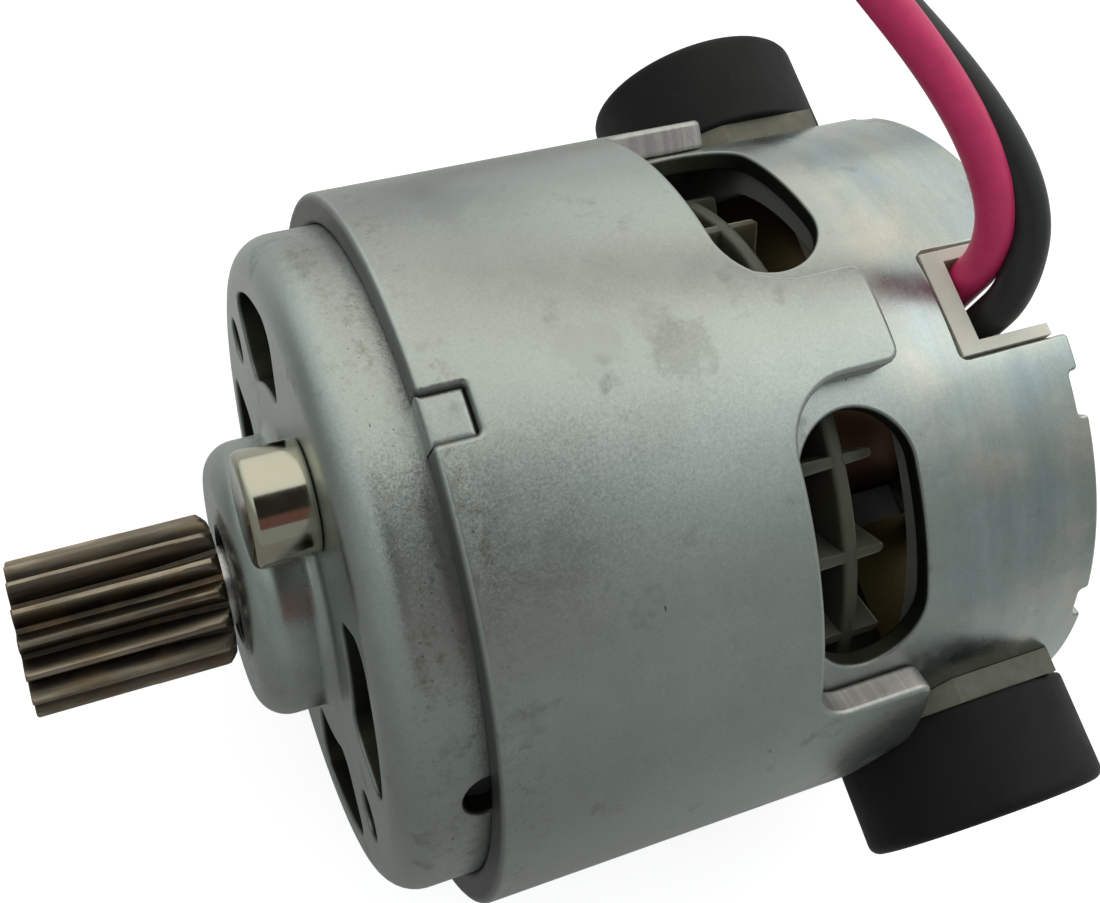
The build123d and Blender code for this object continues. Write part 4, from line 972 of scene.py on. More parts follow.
def matt_solid(name, colour, roughness, size=0.6, depth=0.02, low=0.75, high=1.2):
    """Ceramic, carbon, felt, board and glued pads: a matt grain."""
    finish = Finish(name, colour, roughness)
    grain = finish.noise(size, 5.0, 0.65)
    finish.set(Base_Color=finish.grained(grain, colour, low, high))
    finish.bump(grain, depth, 0.5)
    return finish.material


def core_plates():
    """Stack of core plates: a dark line every millimetre along the shaft, rust-brown in places."""
    colour = (0.24, 0.23, 0.22)
    finish = Finish("core_plates", colour, 0.42, metallic=1.0)
    lines = finish.node("TexWave", {"Vector": finish.place(), "Scale": CORE_LINES, "Distortion": 0.0},
                        wave_type="BANDS", bands_direction="Y").outputs["Fac"]
    patches = finish.noise(2.2, 5.0)
    tone = finish.shades(patches, (0.35, (0.20, 0.12, 0.07)), (0.5, colour), (0.7, (0.34, 0.33, 0.31)))
    finish.set(Base_Color=finish.mix(finish.span(lines, 0.25, 0.0, 0.0, 0.8), tone, (0.03, 0.03, 0.03)))
    finish.bump(lines, 0.08, 0.6)
    return finish.material


# ---------------------------------------------------------------- pieces


def settings():
    """The sizes and colours that the panel shows."""
    scene = bpy.context.scene
    return scene.motor_sizes, scene.motor_colours


def add_finish(piece, material):
    piece.data.materials.clear()
    piece.data.materials.append(material)


def dress(material, *nodes):
    """Gives frame nodes a finish through their own material slots."""
    for node in nodes:
        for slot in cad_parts[node].material_slots:
            slot.material = material


def settle(piece, body, slot, material, *replaced):
    """A finished piece: its material, the body it rides on and the nodes it stands for. The slot is not
    used.
    """
    add_finish(piece, material)
    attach(piece, body)
    if replaced:
        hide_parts(*replaced)


def can_form():
    """The can's outer skin: boss nose, boss root, front edge and wall. It is thin on the boss, thickest
    on the face and thinner again along the wall."""
    corners = ((BOSS_HOLE_RADIUS, BOSS_FRONT), (BOSS_RADIUS, BOSS_FRONT), (BOSS_RADIUS, 0.0),
               (CAN_RADIUS, 0.0), (CAN_RADIUS, RIM))
    radii = (0, BOSS_NOSE_RADIUS, BOSS_ROOT_RADIUS, FRONT_EDGE_RADIUS, 0)
    form = TurnedForm(corners, radii, CAN_RADIUS, CAN_START, ((0.0, 1.0), (0.0, 0.0)))
    root = form.v_at_radius(BOSS_RADIUS + BOSS_ROOT_RADIUS)
    edge = form.v_at_radius(CAN_RADIUS - FRONT_EDGE_RADIUS)
    before, after, along = SKIN_CHANGES
    form.skin = ((root - before, root + after, edge, edge + along),
                 (BOSS_SKIN, FRONT_SKIN, FRONT_SKIN, CAN_SKIN))
    return form


def front_hole(form, outline):
    """Closed line on the flat front, given as x and z, in the form's own (u, v)."""
    radius = np.hypot(outline[:, 0], outline[:, 1])
    angle = np.degrees(np.arctan2(outline[:, 1], outline[:, 0]))
    return np.column_stack((form.u_at(angle), form.v_at_radius(radius)))


def circle_line(centre, radius, count):
    """Closed circle that runs clockwise. Where front_hole lays it in (u, v), it runs the other way, as
    a hole's line has to."""
    angle = -np.arange(count) * TAU / count
    return np.column_stack((centre[0] + radius * np.cos(angle), centre[1] + radius * np.sin(angle)))


def rim_outline(form):
    """Rear line of the can: the crimps' notches, mirrored to all four quarters, and the leads' notch."""
    rim = form.v_at(RIM)
    notches = [(start, end, CRIMP_DEPTH, CRIMP_CORNER) for first, last in CRIMPS
               for start, end in ((first, last), (180 - last, 180 - first),
                                  (180 + first, 180 + last), (360 - last, 360 - first))]
    width, depth, corner = LEAD_NOTCH
    half = math.degrees(math.asin(width / 2 / CAN_RADIUS))
    notches.append((90 - half, 90 + half, depth, corner))
    corners, radii = [(0.0, rim)], [0]
    for start, end, depth, corner in sorted(notches, key=lambda notch: form.u_at(notch[0])):
        left, right = form.u_at(start), form.u_at(end)
        corners += [(left, rim), (left, rim - depth), (right, rim - depth), (right, rim)]
        radii += [CRIMP_CORNER, corner, corner, CRIMP_CORNER]
    return rounded(corners + [(form.period, rim)], radii + [0], RIM_STEP)


def can_holes(form):
    """Closed lines of the can's holes: four front vents, two mounting holes, the pin's hole, four side
    vents with round ends and the two holes that the ring's front edge crosses."""
    inner, outer, centre, half, corner = FRONT_VENT
    middle = (inner + outer) / 2
    width = math.radians(half) * middle
    box = rounded(((-width, inner), (width, inner), (width, outer), (-width, outer)),
                  [corner] * 4, VENT_STEP, closed=True)
    holes = []
    for angle in (centre, 180 - centre, 180 + centre, 360 - centre):
        u = form.u_at(angle + FRONT_VENT_TURN) + box[:, 0] / middle * form.reference
        holes.append(np.column_stack((u, form.v_at_radius(box[:, 1]))))
    away, radius = MOUNT_HOLE
    for centre, radius in (((away, 0), radius), ((-away, 0), radius), (pin_centre(), PIN_HOLE_RADIUS)):
        holes.append(front_hole(form, circle_line(centre, radius, HOLE_POINTS)))

    front, rear = SIDE_VENT_STATIONS
    reach = CAN_RADIUS * math.sin(math.radians(SIDE_VENT_HALF_ANGLE))
    slot = rounded(((-reach, front), (reach, front), (reach, rear), (-reach, rear)),
                   [(rear - front) / 2 * SIDE_VENT_ROUNDNESS] * 4, SLOT_STEP, closed=True)
    spread = np.arcsin(slot[:, 0] / CAN_RADIUS) * form.reference
    for middle in (90, 270):
        for angle in (middle - SIDE_VENT_ANGLE, middle + SIDE_VENT_ANGLE):
            holes.append(np.column_stack((form.u_at(angle) + spread, form.v_at(slot[:, 1]))))
    angle, radius = SIDE_HOLE
    for angle in (angle, 180 + angle):
        middle = (form.u_at(angle), form.v_at(RING_FRONT))
        holes.append(circle_line(middle, radius, SIDE_HOLE_POINTS)[::-1])
    return holes


def can_rows(form):
    """Where the rows of the can's grid lie along its profile: closer where the profile bends."""
    flat = form.v_at_radius(BOSS_RADIUS + BOSS_ROOT_RADIUS)
    bend = form.v_at_radius(CAN_RADIUS - FRONT_EDGE_RADIUS)
    boss, face, edge, wall = CAN_ROW_STEPS
    return np.concatenate((np.arange(edge, flat + 0.2 * MM, boss),
                           np.arange(flat + face, bend, face),
                           np.arange(bend, bend + CAN_EDGE_ROWS, edge),
                           np.arange(bend + CAN_EDGE_ROWS + CAN_EDGE_GAP, form.v_at(RIM), wall)))


def build_can():
    """The drawn can: its profile turned about the shaft, with the vents, holes and notches cut out, and
    the two lugs that key the ring."""
    sizes, colours = settings()
    form = can_form()
    bore = np.linspace(0, form.period, BORE_STEPS)
    front = np.column_stack((bore, 0 * bore))
    can = formed_sheet("can_shell", form, front, rim_outline(form), can_holes(form), sizes.sheet_edge,
                       can_rows(form))
    # walls is painted shade: near black for the shade inside the vents
    zinc = zinc_plate("zinc_can", colours.zinc, wear_start=1.0, wear_end=6.0, lips_from=36.0,
                      walls=(0.045, 0.045, 0.032))
    settle(can, "housing", "zinc_steel", zinc, "motor_can")
    for name, angle in (("top", 90), ("bottom", 270)):
        settle(build_lug(f"can_lug_{name}", math.radians(angle)), "housing", "zinc_steel", zinc)


def pin_centre():
    """Middle of the locating pin as x and z."""
    lowest, highest = corners_of("locating_pin")
    return float(lowest[0] + highest[0]) / 2, float(lowest[2] + highest[2]) / 2


def build_lug(name, angle):
    """Half-sheared lug that keys the ring: a flat top between rounded edges. Its plan is a square grid,
    and the height falls off along a quarter circle near the plan's border."""
    width, length, height = LUG
    edge, drop = LUG_EDGE
    steps = -np.cos(np.linspace(0, math.pi, LUG_STEPS))
    u, v = np.meshgrid(steps, steps)
    inset = np.minimum(1 - np.abs(u), 1 - np.abs(v))
    level = np.sqrt(np.clip(1 - (1 - np.clip(inset / edge, 0, 1)) ** 2, 0, 1))
    floor = CAN_RADIUS - LUG_SINK
    radius = floor + height - drop + drop * level
    around = angle + u * width / 2 / CAN_RADIUS
    top = np.stack((radius * np.cos(around), RING_FRONT + length * (v + 1) / 2,
                    radius * np.sin(around)), axis=-1)
    under = top * ((floor / radius)[..., None] * (1, 0, 1) + (0, 1, 0))
    upper = np.arange(u.size).reshape(u.shape)
    border = np.concatenate((upper[0, :-1], upper[:-1, -1], upper[-1, :0:-1], upper[:0:-1, 0]))
    after = np.roll(border, -1)
    walls = np.column_stack((border + u.size, after + u.size, after, border))
    quads = np.vstack((grid_faces(upper)[4], grid_faces(upper)[4][:, ::-1] + u.size, walls))
    lug = mesh_object(name, np.vstack((top.reshape(-1, 3), under.reshape(-1, 3))), {4: quads})
    turn_outwards(lug)
    lug.data.set_sharp_from_angle(angle=math.radians(LUG_SHARP))
    return lug


def ring_front(form):
    """Front line of the ring, with the notches of its two keys."""
    width, depth, mouth, foot = RING_NOTCH
    corners, radii = [(0.0, 0.0)], [0]
    for angle in sorted((90, 270), key=form.u_at):
        left, right = form.u_at(angle) - width / 2, form.u_at(angle) + width / 2
        corners += [(left, 0.0), (left, depth), (right, depth), (right, 0.0)]
        radii += [mouth, foot, foot, mouth]
    return rounded(corners + [(form.period, 0.0)], radii + [0], RIM_STEP)


def ring_rear(form):
    """Rear line of the ring: four tabs with scallops between them, and a round bite in each wide tab
    where the damper stands. The bite is a circle round the damper's middle, with across measured
    straight, and it meets its tab's end in a softened corner. A tab's line stops half way to the
    next."""
    end = RING_REAR - RING_FRONT
    root = end - TAB_LENGTH
    lowest, highest = corners_of("damper_right")
    damper_middle = (lowest[1] + highest[1]) / 2 - RING_FRONT
    bite = (highest[1] - lowest[1]) / 2 + DAMPER_CLEARANCE
    lines, start = [np.array(((0.0, root),))], 0.0
    wide = (WIDE_TAB_HALF_ANGLE, WIDE_ROOT_RADIUS)
    narrow = (NARROW_TAB_HALF_ANGLE, NARROW_ROOT_RADIUS)
    for angle, (half, fillet) in ((0, wide), (90, narrow), (180, wide), (270, narrow)):
        centre = form.u_at(angle)
        reach = math.radians(half) * form.reference
        stop = centre + TAU / 8 * form.reference
        left, right = centre - reach, centre + reach
        rise = ((start, root), (left, root), (left, end))
        fall = ((right, end), (right, root), (stop, root))
        if half == NARROW_TAB_HALF_ANGLE:
            tab = rounded(rise + fall, (0, fillet, TAB_CORNER, TAB_CORNER, fillet, 0), TAB_STEP)
        else:
            rise = rounded((*rise, (left + BITE_MARGIN, end)), (0, fillet, TAB_CORNER, 0), TAB_STEP)
            fall = rounded(((right - BITE_MARGIN, end), *fall), (0, TAB_CORNER, fillet, 0), TAB_STEP)
            across = np.linspace(left + BITE_MARGIN, right - BITE_MARGIN, BITE_POINTS)[1:-1]
            side = form.reference * np.sin((across - centre) / form.reference)
            circle = damper_middle - np.sqrt(np.maximum(bite ** 2 - side ** 2, 0.0))
            cut = soft_least(end, circle, BITE_SOFTNESS)
            tab = np.vstack((rise, np.column_stack((across, cut)), fall))
        lines.append(tab[1:])
        start = stop
    rear_line = np.vstack(lines)
    rear_line[-1, 0] = form.period
    return rear_line


def build_flux_ring():
    """The rolled flux ring: a thick sheet on a cylinder, cut to its two lines."""
    sizes, colours = settings()
    length = RING_REAR - RING_FRONT
    corners = ((RING_RADIUS, RING_FRONT), (RING_RADIUS, RING_FRONT + length))
    form = TurnedForm(corners, (0, 0), RING_RADIUS, RING_START, ((0.0, 1.0), (RING_SKIN, RING_SKIN)))
    first, step = RING_ROWS
    rows = np.arange(first, length, step)
    ring = formed_sheet("flux_ring_shell", form, ring_front(form), ring_rear(form), [], sizes.ring_edge,
                        rows)
    # walls is painted shade: dark grey for the shade that the can throws on the ring's front cut
    zinc = zinc_plate("zinc_ring", colours.zinc, wear_start=5.0, wear_end=8.0, lips_from=22.0,
                      walls=(0.13, 0.125, 0.125))
    settle(ring, "housing", "zinc_steel", zinc, "flux_ring")


def tooth_profile(angle, teeth):
    """Height of the teeth round the pinion, from 0 at the roots to 1 at the crests: a triangle wave cut
    off at both ends, rounded by a power and drawn in towards the roots."""
    crest, flank, power, fall = PINION_TOOTH
    phase = np.abs(((angle * teeth / TAU + 0.5) % 1) - 0.5) * 2
    return (1 - np.clip((phase - crest) / flank, 0, 1)) ** power * (1 - fall * phase)


def build_pinion():
    """The pinion: the outline of the teeth carried along the shaft. Its radius goes between root and tip
    with the teeth's height. The root rises near the rear, where the cutter ran out. A cone limits both
    ends, and the bore closes the skin."""
    sizes, colours = settings()
    lowest, highest = corners_of("drive_pinion")
    front, rear = lowest[1], highest[1]
    teeth = sizes.pinion_teeth
    angle = np.arange(teeth * PINION_TOOTH_STEPS) * TAU / (teeth * PINION_TOOTH_STEPS)
    front_depths, front_radii = np.array(PINION_FRONT) * MM
    rear_depths, rear_radii = np.array(PINION_REAR) * MM
    after, before, rows = PINION_MIDDLE
    middle = np.linspace(front + after, rear - before, rows)
    stations = np.concatenate(([front] * len(PINION_FACE), front + front_depths, middle,
                               rear - rear_depths, [rear] * len(PINION_BACK)))[:, None]
    limits = np.concatenate((PINION_FACE, front_radii, np.full(rows, PINION_FREE_RADIUS), rear_radii,
                             PINION_BACK))[:, None]
    length, rise, power = PINION_RUNOUT
    runout = np.clip((stations - (rear - length)) / length, 0, 1)
    root = PINION_ROOT_RADIUS + rise * runout ** power
    length, wander, waves, first = PINION_WANDER
    wander = wander * np.sin(angle * waves + first) * (stations > rear - length)
    radius = root + (PINION_TIP_RADIUS - root) * tooth_profile(angle, teeth)[None] + wander
    limits = np.broadcast_to(limits, radius.shape)
    radius = np.where(limits < PINION_ROOT_RADIUS, limits, soft_least(radius, limits, PINION_SOFTNESS))
    crest = np.clip((radius - PINION_CREST_RADIUS) / (PINION_TIP_RADIUS - PINION_CREST_RADIUS), 0, 1)

    bore_stations = np.linspace(rear, front, PINION_BORE_STEPS)[1:-1, None]
    bore = np.full((len(bore_stations), len(angle)), SHAFT_FIT_RADIUS)
    radius = np.vstack((radius, bore))
    stations = np.broadcast_to(np.vstack((stations, bore_stations)), radius.shape)
    grid = np.stack((radius * np.cos(angle), stations, radius * np.sin(angle)), axis=-1)
    pinion = surface("pinion_gear", grid, wrap_rows=True, wrap_columns=True,
                     fields={"crest": np.vstack((crest, 0 * bore))})
    turn_outwards(pinion)
    pinion.data.set_sharp_from_angle(angle=math.radians(PINION_SHARP))
    settle(pinion, "rotor", "pinion_steel", pinion_steel(colours.pinion), "drive_pinion")


def build_locating_pin():
    """The locating pin: an outline turned about the pin's own axis, a barrel with rounded ends in front
    and its rivet through the can's face."""
    _, colours = settings()
    lowest, highest = corners_of("locating_pin")
    radius = (highest[0] - lowest[0]) / 2
    front, rear = lowest[1], highest[1]
    stem, (rivet, face) = PIN_HOLE_RADIUS - PIN_HOLE_GAP, PIN_RIVET
    outline = rounded(((0.0, rear), (rivet, rear), (rivet, face), (stem, face), (stem, 0.0),
                       (radius, 0.0), (radius, front), (0.0, front)),
                      np.array((0, 0.15, 0.05, 0.05, 0.05, 0.28, 0.5, 0)) * MM, 0.15 * MM)
    x, z = pin_centre()
    pin = turned("locating_pin_barrel", outline[::-1], segments=FINE_SEGMENTS, centre=(x, 0, z),
                 closed=False)
    settle(pin, "housing", "bright_nickel", polished_nickel(colours.nickel), "locating_pin")


def build_dampers():
    """The two dampers: a puck's outline turned about X, with a soft outer edge and a shallow recess from
    the mould in its face."""
    _, colours = settings()
    rubber = moulded_rubber(colours.rubber)
    for name, side in (("left", -1), ("right", 1)):
        lowest, highest = corners_of(f"damper_{name}")
        radius = (highest[1] - lowest[1]) / 2
        middle = (lowest[1] + highest[1]) / 2
        base = min(abs(lowest[0]), abs(highest[0]))
        face = base + (highest[0] - lowest[0])
        floor, mouth, depth = DAMPER_RECESS
        recess = face - depth
        outline = rounded(((0.0, recess), (floor, recess), (mouth, face), (radius, face),
                           (radius, base), (0.0, base)),
                          np.array((0, 0.4, 0.4, 0.7, 0.3, 0)) * MM, 0.25 * MM)
        outline[:, 1] *= side
        damper = turned(f"damper_puck_{name}", outline, segments=FINE_SEGMENTS, axis="X",
                        centre=(0, middle, 0), closed=False)
        turn_outwards(damper)
        damper.data.normals_split_custom_set([(0.0, 0.0, 0.0)] * len(damper.data.loops))
        settle(damper, "housing", "black_rubber", rubber, f"damper_{name}")
    # painted shade: the seat's khaki is darkened for the shade under the dampers
    seat = matt_solid("seat_pad", (0.108, 0.104, 0.075), 0.6, size=0.8, depth=0.03, low=0.78, high=1.12)
    dress(seat, "damper_seat_left", "damper_seat_right")


def build_leads():
    """The two leads: each a smooth curve over its route's points, with a round bevel."""
    _, colours = settings()
    for colour, route in (("red", RED_ROUTE), ("black", BLACK_ROUTE)):
        curve = bpy.data.curves.new(f"lead_curve_{colour}", "CURVE")
        curve.dimensions = "3D"
        curve.bevel_depth = LEAD_DIAMETER / 2
        curve.bevel_resolution = LEAD_BEVEL_STEPS
        curve.resolution_u = curve.render_resolution_u = LEAD_STEPS
        curve.use_fill_caps = True
        spline = curve.splines.new("NURBS")
        spline.points.add(len(route) - 1)
        spline.points.foreach_set("co", np.column_stack((np.array(route), np.ones(len(route)))).ravel())
        spline.order_u = 3
        spline.use_endpoint_u = True
        spline.resolution_u = LEAD_STEPS
        lead = bpy.data.objects.new(f"lead_{colour}_cord", curve)
        bpy.context.scene.collection.objects.link(lead)
        tint = getattr(colours, f"{colour}_lead")
        settle(lead, "housing", f"{colour}_insulation", soft_insulation(f"{colour}_silicone", tint),
               f"lead_{colour}")
        dress(soft_insulation(f"{colour}_shrink", SLEEVES[colour]), f"sleeve_{colour}")
    dress(plain_steel("tinned_brass", (0.60, 0.57, 0.50), 0.28), "connector_red", "connector_black")


def build_armature():
    """The windings: five coils, each a bundle of looped wires. A wire runs up one slot, round the
    shaft behind the core to the slot two further on, down it and back round in front. On a head its
    angle goes evenly from slot to slot, its reach is a power of half a sine wave, and its distance from
    the shaft dips by a share of that wave."""
    sizes, colours = settings()
    lowest, highest = corners_of("armature_core")
    front, rear = lowest[1] - COIL_OVERHANG, highest[1] + COIL_OVERHANG
    random = np.random.default_rng(COIL_SEED)
    radius = sizes.wire_diameter / 2
    turns = sizes.coil_turns
    coil = np.repeat(np.arange(COILS), turns)
    number = np.tile(np.arange(turns), COILS)
    start = COIL_START + COIL_PITCH * coil
    first, second = (np.radians(degrees) + random.uniform(-COIL_SCATTER, COIL_SCATTER, len(coil))
                     for degrees in (start, start + COIL_SPAN))
    layer = (number % COIL_LAYERS + 0.5) / COIL_LAYERS
    lowest_radius, spread = COIL_RADII
    distance = ((lowest_radius + spread * layer) * MM)[:, None]
    shortest, growth = COIL_HEADS
    reach = (shortest + growth * (number // COIL_LAYERS + coil / COILS) / (turns / COIL_LAYERS)) * MM
    a, b, reach = first[:, None], second[:, None], reach[:, None]
    straight, bend = (np.broadcast_to(np.linspace(0, 1, steps), (len(coil), steps))
                      for steps in COIL_STEPS)
    wave = np.sin(np.pi * bend)
    arch = wave ** COIL_ARCH
    dip = 1 - COIL_DIP * wave * (1 + layer[:, None])
    level = np.ones_like(straight)
    angle = np.hstack((a * level, a + (b - a) * bend, b * level, b + (a - b) * bend))
    station = np.hstack((front + (rear - front) * straight, rear + reach * arch,
                         rear + (front - rear) * straight, front - reach * COIL_FRONT_SHARE * arch))
    distance = distance * np.hstack((level, dip, level, dip))
    distance = np.minimum(distance, corners_of("armature_windings")[1][0] - radius)
    paths = np.stack((distance * np.cos(angle), station, distance * np.sin(angle)), axis=-1)
    enamel = enamelled_wire(colours.enamel)
    settle(wires("winding_turns", paths, radius, looped=True), "rotor", "winding_enamel", enamel)
    dress(enamel, "armature_windings")
    dress(core_plates(), "armature_core")
    dress(matt_solid("slot_board", (0.42, 0.08, 0.05), 0.5), "core_insulator_front",
          "core_insulator_rear")


def build_fan():
    """The fan: a hub and disc turned about the shaft, and slim blades across the disc. A blade's rounded
    section is carried outwards along a radius and draws in a little at the outer end."""
    lowest, highest = corners_of("cooling_fan")
    front, rear, rim = lowest[1], highest[1], highest[0]
    hub, behind = FAN_HUB
    disc_rear = rear - behind
    disc_front = disc_rear - FAN_DISC_THICKNESS
    outline = rounded(((SHAFT_FIT_RADIUS, front), (hub, front), (hub, disc_front), (rim, disc_front),
                       (rim, disc_rear), (hub, disc_rear), (hub, rear), (SHAFT_FIT_RADIUS, rear)),
                      np.array((0.1, 0.3, 0.4, 0.3, 0.3, 0.4, 0.3, 0.1)) * MM, 0.3 * MM, closed=True)
    material = fan_nylon()
    disc = turned("cooling_fan_disc", outline, segments=FAN_SEGMENTS)
    turn_outwards(disc)
    settle(disc, "rotor", "fan_nylon", material, "cooling_fan")

    start, before, behind, wide, slim = FAN_BLADE
    section = rounded(((disc_front - before, -wide / 2), (disc_rear + behind, -slim / 2),
                       (disc_rear + behind, slim / 2), (disc_front - before, wide / 2)),
                      np.array((0.2, 0.25, 0.25, 0.2)) * MM, 0.15 * MM, closed=True)
    middle = section.mean(axis=0)
    tip_start, tip_end, narrowing = FAN_BLADE_TIP
    reach = np.array((start, rim - tip_start, rim - tip_end))[:, None]
    share = np.array((1.0, 1.0, narrowing))[:, None, None]
    station, across = np.moveaxis(middle + (section - middle) * share, -1, 0)
    count, first = FAN_BLADES
    angle = np.radians(first + 360 * np.arange(count) / count)[:, None, None]
    rings = np.stack((reach * np.cos(angle) - across * np.sin(angle), station + 0 * angle,
                      reach * np.sin(angle) + across * np.cos(angle)), axis=-1)
    blades = rods("cooling_fan_blades", rings)
    blades.data.set_sharp_from_angle(angle=math.radians(BLADE_SHARP))
    settle(blades, "rotor", "fan_nylon", material)


def build_springs():
    """The two brush springs: a helix about X from the brush to the end of its box."""
    steel = plain_steel("coil_steel", (0.34, 0.34, 0.35), 0.28)
    step = np.linspace(0, 1, SPRING_STEPS)
    for name in ("left", "right"):
        lowest, highest = corners_of(f"brush_spring_{name}")
        middle = (lowest + highest) / 2
        length = highest[0] - lowest[0]
        radius = (highest[1] - lowest[1]) / 2 - SPRING_WIRE_RADIUS
        angle = TAU * SPRING_TURNS * step
        rise = length - 2 * SPRING_WIRE_RADIUS
        path = np.column_stack((lowest[0] + SPRING_WIRE_RADIUS + rise * step,
                                middle[1] + radius * np.cos(angle), middle[2] + radius * np.sin(angle)))
        spring = wires(f"brush_spring_coil_{name}", path[None], SPRING_WIRE_RADIUS, SPRING_SIDES)
        settle(spring, "housing", "spring_steel", steel, f"brush_spring_{name}")
        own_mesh(spring)


def dress_inner_nodes():
    """Finishes of the frame nodes that keep their own shape."""
    _, colours = settings()
    ground = plain_steel("ground_steel", (0.52, 0.51, 0.49), 0.22, stretch=(1, 8, 1))
    dress(ground, "motor_shaft", "bearing_shields")
    dress(plain_steel("bearing_steel", (0.60, 0.60, 0.59), 0.14, stretch=(1, 6, 1)),
          "bearing_outer_race", "bearing_inner_race", "bearing_balls")
    dress(plain_steel("spring_steel", (0.30, 0.30, 0.31), 0.3), "magnet_clip_top", "magnet_clip_bottom",
          "bush_retainer")
    dress(matt_solid("ferrite", (0.035, 0.035, 0.038), 0.55), "magnet_left", "magnet_right")
    dress(cap_nylon(colours.nylon), "end_cap")
    dress(plain_steel("strip_brass", (0.30, 0.225, 0.10), 0.38), "terminal_left", "terminal_right",
          "shaft_spacer", "bearing_cage")
    # painted shade: the brush boxes' brass is darkened for the shade inside the can
    dress(plain_steel("dull_brass", (0.052, 0.041, 0.019), 0.45), "brush_box_left", "brush_box_right")
    # painted shade: the commutator copper is darkened for the shade under the brush boxes
    dress(plain_steel("segment_copper", (0.15, 0.085, 0.06), 0.4, stretch=(1, 12, 1)),
          "commutator_segments")
    dress(matt_solid("phenolic", (0.035, 0.02, 0.012), 0.4), "commutator_hub", "thrust_washer")
    dress(matt_solid("brush_carbon", (0.025, 0.025, 0.027), 0.5), "brush_left", "brush_right")
    dress(plain_steel("copper_braid", (0.50, 0.24, 0.12), 0.4, size=0.2), "brush_shunt_left",
          "brush_shunt_right")
    dress(plain_steel("sintered_bronze", (0.36, 0.26, 0.15), 0.5, size=0.15), "rear_bush")
    dress(matt_solid("felt", (0.55, 0.51, 0.42), 0.95, size=0.25, depth=0.2), "oil_felt")


# ---------------------------------------------------------------- stage


def bare_nodes(material):
    """A stage material's nodes, with nothing in them yet."""
    material.use_nodes = True
    material.node_tree.nodes.clear()
    return Nodes(material.node_tree)


def floor_paper():
    """Pale floor: plain diffuse for the light it throws back, darker on the side away from the window as
    painted shade, and lifted to white where it is seen directly, with the shadow kept."""
    material = bpy.data.materials.new("floor_paper")
    nodes = bare_nodes(material)
    # painted shade: the floor's grey falls along FLOOR_LEAN, away from the window
    lean = nodes.lean(nodes.coordinates(), FLOOR_LEAN)
    plain = nodes.node("BsdfDiffuse", {"Color": nodes.span(lean, -FLOOR_FADE, FLOOR_FADE, *FLOOR_GREYS)})
    seen = nodes.node("BsdfDiffuse", {"Color": (FLOOR_SEEN, FLOOR_SEEN, FLOOR_SEEN, 1)})
    lift = nodes.node("Emission", {"Color": (1, 1, 1, 1), "Strength": FLOOR_LIFT})
    both = nodes.node("AddShader", {0: seen.outputs[0], 1: lift.outputs[0]})
    path = nodes.node("LightPath", {}).outputs
    shown = nodes.math("ADD", path["Is Camera Ray"], nodes.times(path["Is Glossy Ray"], FLOOR_IN_GLOSS))
    share = nodes.math("MAXIMUM", shown, path["Is Transmission Ray"])
    mix = nodes.node("MixShader", {0: share, 1: plain.outputs[0], 2: both.outputs[0]})
    nodes.node("OutputMaterial", {"Surface": mix.outputs[0]})
    return material


def studio_world():
    """Soft studio light by direction alone: a wide window from the lead side and above, rather warm,
    falling off to a cool dim room on the other side."""
    world = bpy.data.worlds.new("studio")
    bpy.context.scene.world = world
    world.use_nodes = True
    nodes = Nodes(world.node_tree)
    length = math.sqrt(sum(part * part for part in WINDOW_SIDE))
    toward = nodes.lean(nodes.coordinates("Generated"), [part / length for part in WINDOW_SIDE])
    background = world.node_tree.nodes["Background"].inputs
    tint = nodes.span(toward, *TINT_CHANGE, interpolation_type="SMOOTHSTEP")
    nodes.feed(background["Color"], nodes.mix(tint, ROOM_TINT, WINDOW_TINT))
    nodes.feed(background["Strength"], nodes.span(toward, *LEVEL_CHANGE, ROOM_LEVEL, WINDOW_LEVEL,
                                                  interpolation_type="SMOOTHSTEP"))


def build_screen():
    """A dark screen beside the camera and the warm brown beyond its end. Only reflections show it, and
    it throws no shadow."""
    (x0, y0, z), (x1, y1, _) = SCREEN_LOW, SCREEN_HIGH
    grid = np.array([[(x0, y0, z), (x0, y1, z)], [(x1, y0, z), (x1, y1, z)]])
    screen = surface("screen", grid, np.broadcast_to((0.0, 0.0, -1.0), (2, 2, 3)))
    material = bpy.data.materials.new("dark_screen")
    nodes = bare_nodes(material)
    x = nodes.node("SeparateXYZ", {0: nodes.coordinates()}).outputs["X"]
    beyond = nodes.span(x, SCREEN_END - SCREEN_SOFTNESS, SCREEN_END + SCREEN_SOFTNESS)
    glow = nodes.node("Emission", {"Color": nodes.mix(beyond, SCREEN_DARK, SCREEN_BEYOND)})
    nodes.node("OutputMaterial", {"Surface": glow.outputs[0]})
    add_finish(screen, material)
    for kind in ("camera", "diffuse", "transmission", "volume_scatter", "shadow"):
        setattr(screen, f"visible_{kind}", False)


def aimed(name, data, right, up, back, place):
    """A camera or lamp whose axes and place are given."""
    made = bpy.data.objects.new(name, data)
    axes = np.eye(4)
    axes[:3] = np.column_stack((right, up, back, place))
    made.matrix_world = Matrix(axes.tolist())
    bpy.context.scene.collection.objects.link(made)
    return made


